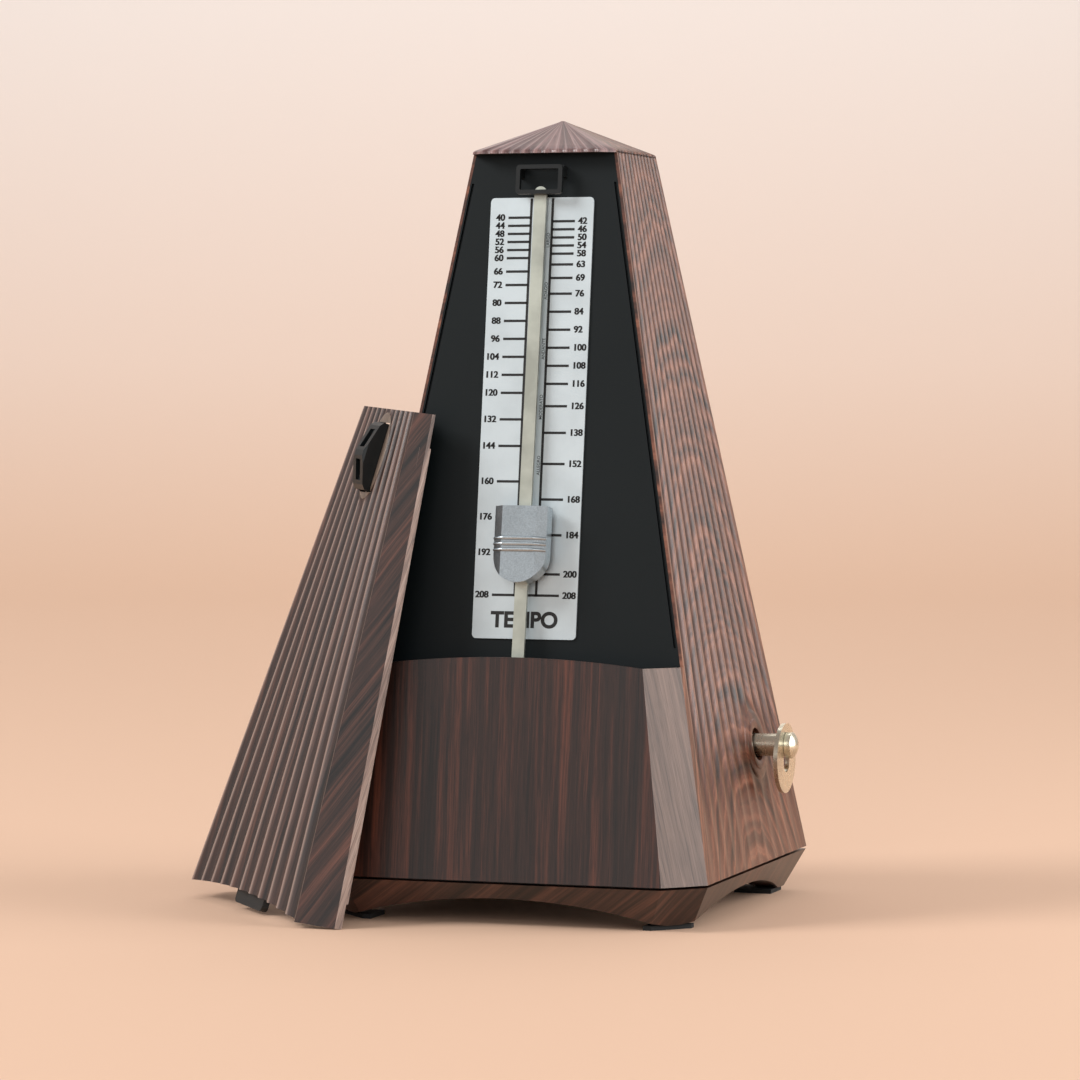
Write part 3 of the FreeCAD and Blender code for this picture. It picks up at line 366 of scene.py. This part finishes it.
def shell(name, runs, levels, materials, closed=False, height_of=None, present=None, fade=None,
          wall_at=None):
    """A wall that follows the runs between heights: fluted outside, plain inside, closed at its rims.

    height_of bends a level, present says which faces there are, fade scales the flutes and wall_at is the
    wall's thickness at a point.
    """
    points = sheet_points(runs, closed)
    count = len(points)
    outer_spots, inner_spots, relief = [], [], []
    for level in levels:
        for share, inward, depth, style in points:
            height = height_of(level, share, style) if height_of else level
            width = half(height)
            plain = share * width
            strength = fade(share, height, style) if fade and depth is not None else 1.0
            spot = plain + inward * FLUTE_DEEP * width * (depth or 0.0) * strength
            # relief drives the wood material's painted highlight on the flutes' ridges and painted shade in
            # their hollows
            relief.append(0.0 if depth is None else (1 - 2 * depth) * strength)
            wall = wall_at(plain, height) if wall_at else WALL
            inside = Vector([math.copysign(max(abs(value) - wall, 0), value) for value in plain])
            if abs(share.y) < 1 and abs(share.x) == 1:
                inside.y = plain.y
            if abs(share.x) < 1 and abs(share.y) == 1:
                inside.x = plain.x
            outer_spots.append(Vector((spot.x, spot.y, height)))
            inner_spots.append(Vector((inside.x, inside.y, height)))
    outer_faces = []
    for row in range(len(levels) - 1):
        for column in range(count if closed else count - 1):
            style = points[column][3]
            if present and not present(style, row):
                continue
            after = (column + 1) % count
            low, high = row * count, (row + 1) * count
            outer_faces.append(((low + column, low + after, high + after, high + column), style))
    total = len(outer_spots)
    faces, styles = [], []
    used_edges = set()
    for corners, style in outer_faces:
        faces += [corners, tuple(total + corner for corner in reversed(corners))]
        styles += [style, INSIDE]
        used_edges.update(zip(corners, corners[1:] + corners[:1]))
    for corners, style in outer_faces:
        for start, end in zip(corners, corners[1:] + corners[:1]):
            if (end, start) not in used_edges:
                faces.append((end, start, total + start, total + end))
                styles.append(style)
    spots = outer_spots + inner_spots
    kept = sorted({corner for corners in faces for corner in corners})
    renumbered = {old: new for new, old in enumerate(kept)}
    uvs = [[grain_map(style, spots[corner]) for corner in corners] for corners, style in zip(faces, styles)]
    faces = [tuple(renumbered[corner] for corner in corners) for corners in faces]
    relief += [0.0] * total
    return mesh_object(name, [spots[old] for old in kept], faces, materials, styles, uvs,
                       relief=[relief[old] for old in kept])


# ---------------------------------------------------------------- the case
def near_key(share, height):
    """How far a point of the right side wall is from the key's axis."""
    return math.hypot(share.y * half(height) - KEY_Y, height - KEY_Z)


def case_fade(share, height, style):
    """The side flutes die away towards the seam and round the key's boss."""
    away = 1.0
    if style == SIDE and share.x > 0:
        away = smooth(9.0, 14.0, near_key(share, height))
    return away * (0.12 + 0.88 * smooth(16.0, 62.0, height))


def case_walls(materials):
    closed_front = (Run((CORNER, -1), (1, -CORNER), 0, FACET), Run((1, -CORNER), (1, -PANEL_SHARE), 0, STRIP))
    right = fluted_side(1)
    left = fluted_side(-1)
    runs = [Run((-CORNER, -1), (CORNER, -1), 0, FRONT, steps=20), *closed_front, *right, *back_runs(), *left,
            Run((-1, -PANEL_SHARE), (-1, -CORNER), 0, STRIP), Run((-1, -CORNER), (-CORNER, -1), 0, FACET)]
    low_levels = [SEAM_Z + 0.3, 16, 20, 25] + [26 + 1.5 * step for step in range(26)] + [66.5, SHELF_Z]
    high_levels = [76 + 15 * step for step in range(9)] + [HOOD_Z - 0.4]
    levels = low_levels + high_levels
    shelf_row = len(low_levels) - 1

    def height_of(level, share, style):
        if style != FRONT or level > SHELF_Z:
            return level
        rise = lip_rise(share.x * half(SHELF_Z))
        return level + rise * (level - SEAM_Z) / (SHELF_Z - SEAM_Z)

    def present(style, row):
        return row < shelf_row or style not in (FRONT, FACET, STRIP)

    def wall_at(spot, height):
        behind_panel = spot.y + PANEL_SHARE * half(height)
        return RIM if height >= SHELF_Z and behind_panel < 2.3 else WALL

    walls = shell("case_walls", runs, levels, materials, True, height_of, present, case_fade, wall_at)
    bpy.ops.mesh.primitive_cylinder_add(vertices=64, radius=KEY_BORE * MM, depth=20 * MM,
                                        location=(half(KEY_Z) * MM, KEY_Y * MM, KEY_Z * MM),
                                        rotation=(0, math.radians(90), 0))
    return cut_with(walls, bpy.context.object)


def key_boss(material):
    """Two low steps moulded round the key's hole, turned on the side wall's slope."""
    profile = [(KEY_BORE, -1.5), (KEY_BORE, 0.55), (5.2, 0.75), (6.6, 0.8), (7.0, 0.72), (7.2, 0.42),
               (7.5, 0.36), (8.9, 0.36), (9.5, 0.22), (10.2, -0.2), (10.2, -1.5)]
    steps = 72
    slope = math.atan(TAPER)
    centre = Vector((half(KEY_Z), KEY_Y, KEY_Z))
    out = Vector((math.cos(slope), 0, math.sin(slope)))
    up = Vector((-math.sin(slope), 0, math.cos(slope)))
    vertices, faces = [], []
    for step in range(steps):
        angle = 2 * math.pi * step / steps
        ray = Vector((0, 1, 0)) * math.cos(angle) + up * math.sin(angle)
        vertices += [centre + ray * radius + out * high for radius, high in profile]
    size = len(profile)
    for step in range(steps):
        this, after = step * size, (step + 1) % steps * size
        faces += [(this + ring, after + ring, after + (ring + 1) % size, this + (ring + 1) % size)
                  for ring in range(size)]
    uvs = [[grain_map(SIDE, vertices[corner]) for corner in corners] for corners in faces]
    return mesh_object("key_boss", vertices, [face[::-1] for face in faces], [material], None,
                       [corners[::-1] for corners in uvs])


def hood(materials):
    """The roof: flutes run up to its tip on every face but the facets, over a low upright edge."""
    runs = [Run((-CORNER, -1), (CORNER, -1), FRONT_FLUTES, FRONT), Run((CORNER, -1), (1, -CORNER), 0, FACET),
            Run((1, -CORNER), (1, STRIP_END), 0, SIDE), *fluted_side(1)[1:], *back_runs(),
            *fluted_side(-1)[:-1], Run((-1, STRIP_END), (-1, -CORNER), 0, SIDE),
            Run((-1, -CORNER), (-CORNER, -1), 0, FACET)]
    points = sheet_points(runs, True)
    width = half(HOOD_Z)
    rise = TIP_Z - HOOD_Z
    rows = [(HOOD_Z - 0.9, half(HOOD_Z - 0.9), 1.0), (HOOD_Z - 0.25, half(HOOD_Z - 0.25), 1.0),
            (HOOD_Z + 0.1, width - 0.25, 1.0)]
    for share in (0.15, 0.35, 0.55, 0.75, 0.88, 0.95):
        rows.append((HOOD_Z + rise * share, width * (1 - share), 0.8))
    rows.append((TIP_Z - 0.08, width * 0.018, 0.3))
    vertices, faces, styles, relief = [], [], [], []
    for height, wide, strength in rows:
        for share, inward, depth, _ in points:
            spot = share * wide + inward * FLUTE_DEEP * wide * (depth or 0.0) * strength
            vertices.append(Vector((spot.x, spot.y, height)))
            # the relief leans towards the ridges here, so the hood's flutes carry more painted highlight than
            # painted shade
            relief.append(0.0 if depth is None else 0.8 - 1.4 * depth)
    count = len(points)
    for row in range(len(rows) - 1):
        for column in range(count):
            after = (column + 1) % count
            faces.append((row * count + column, row * count + after, (row + 1) * count + after,
                          (row + 1) * count + column))
            styles.append(points[column][3])
    last = (len(rows) - 1) * count
    faces += [tuple(range(count - 1, -1, -1)), tuple(range(last, last + count))]
    styles += [INSIDE, FRONT]
    uvs = []
    for corners, style in zip(faces, styles):
        uvs.append([hood_map(style, vertices[corner]) for corner in corners])
    return mesh_object("case_hood", vertices, faces, materials, styles, uvs, 28.0, relief)


def hood_map(style, spot):
    """The hood's grain runs to its tip: across is a share of the face's width, up the distance to the tip."""
    across, _ = grain_map(style, spot)
    reach = max(abs(spot.x), abs(spot.y), 0.5)
    return across * 100 / reach * 0.2 + 0.37, reach / 60


# ---------------------------------------------------------------- the cover
def cover_matrix():
    """Moves a point of the closed cover to where the cover leans."""
    first, second, third = (math.radians(turn) for turn in COVER_TURNS)
    turn = Matrix.Rotation(first, 4, "Z") @ Matrix.Rotation(second, 4, "X") @ Matrix.Rotation(third, 4, "Y")
    return Matrix.Translation(COVER_PLACE) @ turn @ Matrix.Translation(-COVER_FOOT)


def lean_cover(made):
    """Takes a piece drawn on the closed cover, in metres, to the leaning cover."""
    scale = Matrix.Scale(MM, 4)
    made.data.transform(scale @ cover_matrix() @ scale.inverted())
    return made


COVER_TOP = 210.5
LATCH_Z = 196.6
LATCH_HOLE = (7.1, 12.0, 20.0)
PAD_Z = LATCH_Z + 0.5


def cover_body(materials):
    """The fluted cover with its side returns; the flutes die away round the latch."""
    runs = [Run((-1, -COVER_EDGE), (-1, -CORNER), 0, STRIP), Run((-1, -CORNER), (-CORNER, -1), 0, FACET),
            Run((-CORNER, -1), (CORNER, -1), FRONT_FLUTES, FRONT),
            Run((CORNER, -1), (1, -CORNER), 0, FACET), Run((1, -CORNER), (1, -COVER_EDGE), 0, STRIP)]
    levels = [70.0, 72, 75, 80] + [90 + 15 * step for step in range(6)] + [172] + \
             [178 + 1.5 * step for step in range(22)] + [COVER_TOP]

    def height_of(level, share, style):
        if style != FRONT:
            return level
        rise = lip_rise(share.x * half(SHELF_Z)) + 0.3
        return level + rise * (1 - smooth(70, 90, level))

    def fade(share, height, style):
        away = math.hypot(share.x * half(height) / 5.8, (height - PAD_Z) / 12.0)
        return smooth(0.98, 1.12, away)

    def wall_at(spot, height):
        return COVER_WALL

    made = shell("cover_body", runs, levels, materials, False, height_of, None, fade, wall_at)
    return lean_cover(cut_with(made, latch_hole()))


def latch_hole():
    """The opening through the cover that the latch rocks in, as a tool."""
    bpy.ops.mesh.primitive_cube_add(size=1, location=(0, -half(LATCH_Z) * MM, LATCH_Z * MM))
    tool = bpy.context.object
    tool.scale = [length * MM for length in LATCH_HOLE]
    bpy.context.view_layer.update()
    return tool


def latch_pad(material):
    """A low oval land round the latch, standing a little behind the flutes' ridges."""
    steps, wide, high = 48, 5.9, 12.6
    slope = math.atan(TAPER)
    centre = Vector((0, -half(PAD_Z), PAD_Z))
    up = Vector((0, math.sin(slope), math.cos(slope)))
    out = Vector((0, -math.cos(slope), math.sin(slope)))
    rings = ((1.0, -0.6), (1.0, -0.02), (0.93, 0.16), (0.5, 0.18))
    vertices = []
    for size, proud in rings:
        for step in range(steps):
            angle = 2 * math.pi * step / steps
            across = Vector((wide * size * math.cos(angle), 0, 0))
            vertices.append(centre + across + up * high * size * math.sin(angle) + out * proud)
    faces = [tuple(range(steps))[::-1], tuple(range(3 * steps, 4 * steps))]
    for ring in range(3):
        for step in range(steps):
            after = (step + 1) % steps
            faces.append((ring * steps + step, ring * steps + after, (ring + 1) * steps + after,
                          (ring + 1) * steps + step))
    uvs = [[grain_map(FRONT, vertices[corner]) for corner in corners] for corners in faces]
    made = mesh_object("latch_pad", vertices, faces, [material], None, uvs)
    tidy_normals(made)
    return lean_cover(cut_with(made, latch_hole()))


def cover_tongues(material):
    """Thin tongues inside the cover's side returns that slip into the black front's slits."""
    vertices, faces = [], []
    for side in (-1, 1):
        base = len(vertices)
        for height in (76.5, 201.0):
            width = half(height)
            for inset in (1.3, 1.9):
                for depth in (-2.5, 1.0):
                    vertices.append(Vector((side * (width - inset), -PANEL_SHARE * width + depth, height)))
        faces += [tuple(base + corner for corner in corners) for corners in
                  ((0, 1, 3, 2), (4, 6, 7, 5), (0, 2, 6, 4), (1, 5, 7, 3), (0, 4, 5, 1), (2, 3, 7, 6))]
    uvs = [[grain_map(STRIP, vertices[corner]) for corner in corners] for corners in faces]
    made = mesh_object("cover_tongues", vertices, faces, [material], None, uvs)
    tidy_normals(made)
    return lean_cover(made)


def tidy_normals(made):
    """Turns every face of a closed mesh outwards."""
    work = bmesh.new()
    work.from_mesh(made.data)
    bmesh.ops.recalc_face_normals(work, faces=work.faces)
    work.to_mesh(made.data)
    work.free()


# ---------------------------------------------------------------- the sliding weight's grip
WEIGHT_WIDE, WEIGHT_HIGH, WEIGHT_TOP_Z = 15.0, 21.0, 112.6
WEIGHT_FRONT, WEIGHT_FLANK, FLANK_BACK = -5.0, 2.6, 1.8


def weight_grip(material):
    """Three rounded ridges round the weight's front and bevelled flanks, drawn in the rod's own plane."""
    edge, flat = WEIGHT_WIDE / 2 - 0.1, WEIGHT_WIDE / 2 - WEIGHT_FLANK
    path = [Vector((-edge, WEIGHT_FRONT + FLANK_BACK, 0)), Vector((-flat, WEIGHT_FRONT, 0)),
            Vector((flat, WEIGHT_FRONT, 0)), Vector((edge, WEIGHT_FRONT + FLANK_BACK, 0))]
    outward = [Vector((-0.57, -0.82, 0)), Vector((-0.29, -1, 0)), Vector((0.29, -1, 0)),
               Vector((0.57, -0.82, 0))]
    top = (WEIGHT_TOP_Z - PIVOT_Z) / math.cos(LEAN)
    steps, thick, proud = 9, 0.52, 0.58
    vertices, faces = [], []
    for ridge in range(3):
        height = top - WEIGHT_HIGH / 2 + 1.6 * (ridge - 1)
        base = len(vertices)
        for spot, out in zip(path, outward):
            for step in range(steps):
                angle = math.pi * step / (steps - 1)
                vertices.append(spot + out * (proud * math.sin(angle) - 0.2) +
                                Vector((0, 0, height - thick * math.cos(angle))))
        for row in range(len(path) - 1):
            for step in range(steps):
                after = (step + 1) % steps
                low, high = base + row * steps, base + (row + 1) * steps
                faces.append((low + step, low + after, high + after, high + step))
        last = base + (len(path) - 1) * steps
        faces += [tuple(range(base, base + steps)), tuple(range(last, last + steps))]
    made = mesh_object("weight_grip", vertices, faces, [material], sharp=50.0)
    tidy_normals(made)
    hang = Matrix.Translation((0, PIVOT_Y, PIVOT_Z)) @ Matrix.Rotation(-LEAN, 4, "X")
    scale = Matrix.Scale(MM, 4)
    made.data.transform(scale @ hang @ scale.inverted())
    return made


# ---------------------------------------------------------------- the scale plate's markings
LEFT_TEMPI = (40, 44, 48, 52, 56, 60, 66, 72, 80, 88, 96, 104, 112, 120, 132, 144, 160, 176, 192, 208)
RIGHT_TEMPI = (42, 46, 50, 54, 58, 63, 69, 76, 84, 92, 100, 108, 116, 126, 138, 152, 168, 184, 200, 208)
SCALE_KNOTS = ((40, 192.3), (60, 181.1), (120, 143.9), (192, 100.1), (208, 88.5))
PLATE_THICK = 0.5


def tempo_height(tempo):
    """Height of a tempo's mark, by straight lines between a few of them."""
    for (low, low_z), (high, high_z) in zip(SCALE_KNOTS, SCALE_KNOTS[1:]):
        if tempo <= high:
            return low_z + (high_z - low_z) * (tempo - low) / (high - low)
    return SCALE_KNOTS[-1][1]


def on_panel(x, height, depth=0.0):
    """A place on the black front, in metres: X across, a height and how far out of it."""
    out = Vector((0, -math.cos(PANEL_TILT), math.sin(PANEL_TILT)))
    return (Vector((x, -PANEL_SHARE * half(height), height)) + out * depth) * MM


PANEL_TURN = Euler((math.radians(90) - PANEL_TILT, 0, 0))


def text_mesh(words, size, x, height, align="CENTER", bold=0.0, upright=False):
    """Raised print on the scale plate, as a mesh."""
    curve = bpy.data.curves.new("print", "FONT")
    curve.body = words
    curve.size = size * MM
    curve.align_x = align
    curve.align_y = "CENTER"
    curve.offset = bold * MM
    curve.extrude = 0.015 * MM
    made = bpy.data.objects.new("print", curve)
    bpy.context.collection.objects.link(made)
    turn = PANEL_TURN.to_matrix().to_4x4()
    if upright:
        turn = turn @ Matrix.Rotation(math.radians(90), 4, "Z")
    made.matrix_world = Matrix.Translation(on_panel(x, height, PLATE_THICK + 0.02)) @ turn
    bpy.context.view_layer.update()
    mesh = bpy.data.meshes.new_from_object(made.evaluated_get(bpy.context.evaluated_depsgraph_get()))
    mesh.transform(made.matrix_world)
    bpy.data.objects.remove(made)
    return mesh


def bar_mesh(low_x, high_x, low_z, high_z):
    """A printed bar on the scale plate between two X values and two heights."""
    work = bmesh.new()
    corners = [(low_x, low_z), (high_x, low_z), (high_x, high_z), (low_x, high_z)]
    lower = [work.verts.new(on_panel(x, z, PLATE_THICK - 0.01)) for x, z in corners]
    upper = [work.verts.new(on_panel(x, z, PLATE_THICK + 0.04)) for x, z in corners]
    work.faces.new(upper)
    work.faces.new(lower[::-1])
    for index in range(4):
        after = (index + 1) % 4
        work.faces.new((lower[index], lower[after], upper[after], upper[index]))
    mesh = bpy.data.meshes.new("bar")
    work.to_mesh(mesh)
    work.free()
    return mesh


def joined(name, meshes, material):
    """One object made of several meshes."""
    work = bmesh.new()
    for mesh in meshes:
        work.from_mesh(mesh)
        bpy.data.meshes.remove(mesh)
    mesh = bpy.data.meshes.new(name)
    work.to_mesh(mesh)
    work.free()
    mesh.materials.clear()
    mesh.materials.append(material)
    for polygon in mesh.polygons:
        polygon.material_index = 0
    made = bpy.data.objects.new(name, mesh)
    bpy.context.collection.objects.link(made)
    return made


def scale_markings(material):
    line_x, line_half, tick_end, tick_half, gap = 3.1, 0.36, 9.7, 0.34, 1.0
    meshes = []
    low, high = tempo_height(208) - 0.35, 197.6
    for side, tempi in ((-1, LEFT_TEMPI), (1, RIGHT_TEMPI)):
        meshes.append(bar_mesh(side * line_x - line_half, side * line_x + line_half, low, high))
        for tempo in tempi:
            height = tempo_height(tempo)
            ends = sorted((side * (line_x if tempo < 208 else 0.0), side * tick_end))
            meshes.append(bar_mesh(*ends, height - tick_half, height + tick_half))
            align = "RIGHT" if side < 0 else "LEFT"
            meshes += [text_mesh(str(tempo), 2.55, side * (tick_end + gap) + nudge, height, align, 0.05)
                       for nudge in (-0.09, 0.09)]
    for words, height in (("LARGO", 186), ("ADAGIO", 172), ("ANDANTE", 156), ("MODERATO", 140),
                          ("ALLEGRO", 124), ("PRESTO", 108)):
        meshes.append(text_mesh(words, 1.25, 2.2, height, "CENTER", 0.01, upright=True))
    meshes.append(text_mesh("TEMPO", 6.0, 0, 81.6, "CENTER", 0.22))
    return joined("scale_markings", meshes, material)


# ---------------------------------------------------------------- putting it together
# Where a wood below is given a ridge colour, it is a painted highlight on its flutes' ridges.
rosewood = {
    "front": wood("rosewood_front", (12, 7, 6), (46, 26, 20), (92, 50, 36), seed=1.3, slant=-0.02, wavy=0.02),
    "facet": wood("rosewood_facet", (62, 47, 40), (99, 80, 70), (125, 103, 92), streaks=1.6, slant=-0.12,
                  wavy=0.02, seed=4.1),
    "side": wood("rosewood_side", (30, 18, 15), (98, 58, 43), (144, 95, 74), streaks=1.1, arches=0.7,
                 arch_foot=(0.06, 0.20), seed=2.2, ridge_highlight=(166, 136, 120), ridge_highlight_share=0.5),
    "back": wood("rosewood_back", (36, 22, 20), (104, 64, 50), (146, 98, 80), streaks=1.1, arches=0.6,
                 arch_foot=(0.0, 0.2), seed=7.7, ridge_highlight=(176, 148, 136), ridge_highlight_share=0.5),
    "cover": wood("rosewood_cover", (28, 16, 13), (68, 44, 36), (104, 70, 58), streaks=1.3, wavy=0.02,
                  seed=5.9, ridge_highlight=(168, 146, 136), ridge_highlight_share=0.66),
    "cover_facet": wood("rosewood_cover_facet", (14, 8, 7), (58, 37, 30), (106, 66, 53), streaks=1.3,
                        slant=0.5, wavy=0.03, seed=8.4),
    "strip": wood("rosewood_strip", (88, 68, 60), (148, 124, 112), (182, 160, 148), streaks=1.2, slant=0.3,
                  wavy=0.02, seed=3.2),
    "hood": wood("rosewood_hood", (60, 38, 38), (122, 90, 88), (154, 122, 120), streaks=0.8, seed=6.6,
                 ridge_highlight=(196, 172, 170)),
    "pad": wood("rosewood_pad", (84, 72, 62), (116, 100, 88), (138, 122, 108), streaks=1.2, wavy=0.02,
                seed=2.9),
    "base": wood("rosewood_base", (14, 8, 7), (56, 35, 28), (100, 64, 51), streaks=1.1, slant=0.75, wavy=0.06,
                 seed=9.1, on_object=True),
}
dark_inside = plastic("case_inside", (30, 24, 22), 0.55)
black_front = plastic("black_front", (2, 11, 14), 0.42, 1400, 0.04, sheen=0.24)
black_catch = plastic("black_catch", (6, 10, 11), 0.34, 1200, 0.05, sheen=0.4)
black_latch = plastic("black_latch", (8, 15, 17), 0.30, 1200, 0.05)
black_tab = plastic("black_tab", (16, 19, 20), 0.45, 1200, 0.05)
rubber = plastic("rubber_pads", (16, 18, 19), 0.75, 700, 0.15)
ink = plastic("scale_ink", (8, 9, 10), 0.5, 1600, 0.02)



def face_materials(*names):
    """Materials for the front, facets, sides, strips and back, by name, and the dark inside."""
    return [rosewood[name] for name in names] + [dark_inside]


for piece in (case_walls(face_materials("front", "facet", "side", "side", "back")),
              key_boss(rosewood["side"]), hood(face_materials("hood", "hood", "side", "side", "back"))):
    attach(piece, "case")
    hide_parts("case_shell")
for piece in (cover_body(face_materials("cover", "cover_facet", "strip", "strip", "back")),
              cover_tongues(rosewood["strip"]), latch_pad(rosewood["pad"])):
    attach(piece, "cover")
    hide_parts("cover_shell")
markings = scale_markings(ink)
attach(markings, "case")


def dress(names, material, bevel=0.0, segments=2):
    """Gives CAD nodes a material and, where asked, softly rounded edges."""
    for name in names.split():
        made = frame["nodes"][name]
        made.data.materials.clear()
        made.data.materials.append(material)
        for polygon in made.data.polygons:
            polygon.material_index = 0
        if bevel:
            modifier = made.modifiers.new("rounded", "BEVEL")
            modifier.width = bevel * MM
            modifier.segments = segments
            modifier.limit_method = "ANGLE"
            modifier.angle_limit = math.radians(35)
            modifier.harden_normals = False


brass = metal("clock_brass", (206, 170, 96), 0.28, scale=700)
steel = metal("clock_steel", (172, 174, 178), 0.30, brushed=(1, 1, 14), scale=400)
dress("base", rosewood["base"], 0.25)
dress("front_panel", black_front, 0.25)
dress("pendulum_catch", black_catch, 0.3, 3)
dress("cover_tab", black_tab, 0.3)
dress("cover_latch", black_latch, 0.35, 3)
dress("foot_pads", rubber, 0.25)
dress("scale_plate",
      metal("scale_silver", (198, 208, 212), 0.46, brushed=(40, 1, 1), scale=300, bump=0.02), 0.1)
dress("pendulum_rod",
      metal("rod_strip", (188, 191, 180), 0.36, brushed=(14, 1, 1), scale=600, stain=0.25), 0.12)
cast_weight = metal("cast_weight", (186, 196, 202), 0.25, scale=900, stain=0.05, bump=0.08, speckle=0.2)
dress("tempo_weight", cast_weight, 0.3, 3)
grip = weight_grip(cast_weight)
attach(grip, "weight")
key_metal = metal("key_nickel", (226, 220, 200), 0.20, scale=500, stain=0.15)
dress("key_stem key_plate key_cap", key_metal, 0.18, 2)
dress("great_wheel second_wheel crown_wheel frame_pillars pendulum_hub", brass)
dress("left_plate right_plate winding_arbor ratchet_wheel click click_screw second_arbor second_pinion "
      "escape_arbor escape_pinion pendulum_arbor pallets latch_pin base_screws movement_screws pillar_screws "
      "spring_barrel barrel_cap front_bar rear_cock", steel)
dress("pendulum_bob", metal("cast_iron", (70, 70, 74), 0.6, scale=800, bump=0.3))
dress("mainspring click_spring weight_spring", metal("blued_spring", (70, 76, 92), 0.3, scale=400))

# ---------------------------------------------------------------- stage, light and camera
def studio():
    """A pale floor that curves up into a backdrop."""
    reach, depth, bend, height, width = 1.5, 1.6, 0.9, 3.0, 4.0
    profile = [(-reach, 0.0), (depth, 0.0)]
    for step in range(1, 13):
        angle = math.radians(90 * step / 12)
        profile.append((depth + bend * math.sin(angle), bend * (1 - math.cos(angle))))
    profile.append((depth + bend, height))
    turn = Matrix.Rotation(math.radians(CAMERA_AZIMUTH), 3, "Z")
    vertices = [turn @ Vector((side * width, along, up)) for along, up in profile for side in (-1, 1)]
    faces = [(2 * row, 2 * row + 1, 2 * row + 3, 2 * row + 2) for row in range(len(profile) - 1)]
    mesh = bpy.data.meshes.new("studio_floor")
    mesh.from_pydata(vertices, [], faces)
    mesh.shade_smooth()
    floor = bpy.data.objects.new("studio_floor", mesh)
    bpy.context.collection.objects.link(floor)
    m = Nodes("studio_floor")
    place = m.add("ShaderNodeTexCoord").outputs["Object"]
    height_of = m.add("ShaderNodeSeparateXYZ", {0: place}).outputs[2]
    blush = m.ramp(m.math("MULTIPLY", height_of, 1.6),
                   [(0.0, (214, 178, 152)), (0.25, (222, 198, 182)), (0.9, (232, 226, 222))])
    mesh.materials.append(m.surface(Base_Color=blush, Roughness=0.9))


def area_light(name, place, aim, size, energy):
    light = bpy.data.lights.new(name, "AREA")
    light.shape = "RECTANGLE"
    light.size, light.size_y = size
    light.energy = energy
    made = bpy.data.objects.new(name, light)
    made.location = place
    made.rotation_euler = (Vector(aim) - Vector(place)).to_track_quat("-Z", "Y").to_euler()
    bpy.context.collection.objects.link(made)


CAMERA_AZIMUTH, CAMERA_PITCH = 18.53, 2.25
CAMERA_AWAY, CAMERA_SIDE, CAMERA_HEIGHT = 1.2047, -0.0065, 0.1025
CAMERA_LENS = 142.8


def camera():
    """A long lens, a little right of the front and just above the object's middle."""
    azimuth, pitch = math.radians(CAMERA_AZIMUTH), math.radians(CAMERA_PITCH)
    right = Vector((math.cos(azimuth), math.sin(azimuth), 0))
    level = Vector((-math.sin(azimuth), math.cos(azimuth), 0))
    forward = level * math.cos(pitch) - Vector((0, 0, math.sin(pitch)))
    lens = bpy.data.cameras.new("camera")
    lens.lens = CAMERA_LENS
    lens.sensor_width = 36
    lens.clip_end = 20
    made = bpy.data.objects.new("camera", lens)
    made.location = right * CAMERA_SIDE + Vector((0, 0, CAMERA_HEIGHT)) - forward * CAMERA_AWAY
    made.rotation_euler = forward.to_track_quat("-Z", "Y").to_euler()
    bpy.context.collection.objects.link(made)
    bpy.context.scene.camera = made


def world():
    background = bpy.data.worlds.new("studio")
    background.use_nodes = True
    shade = background.node_tree.nodes["Background"]
    shade.inputs["Color"].default_value = (0.95, 0.93, 0.92, 1)
    shade.inputs["Strength"].default_value = 0.55
    bpy.context.scene.world = background


studio()
world()
area_light("key", (-1.05, -0.70, 1.05), (0, 0, 0.1), (0.6, 0.6), 15)
area_light("side_softbox", (1.05, 0.10, 0.45), (0, 0, 0.1), (0.9, 0.9), 11)
area_light("front_fill", (0.35, -1.5, 0.6), (0, 0, 0.1), (1.0, 0.6), 5)
area_light("backdrop_wash", (-0.3, 1.2, 2.2), (-0.8, 2.5, 0.9), (2.5, 1.0), 26)
camera()
bpy.context.scene.view_settings.view_transform = "Standard"
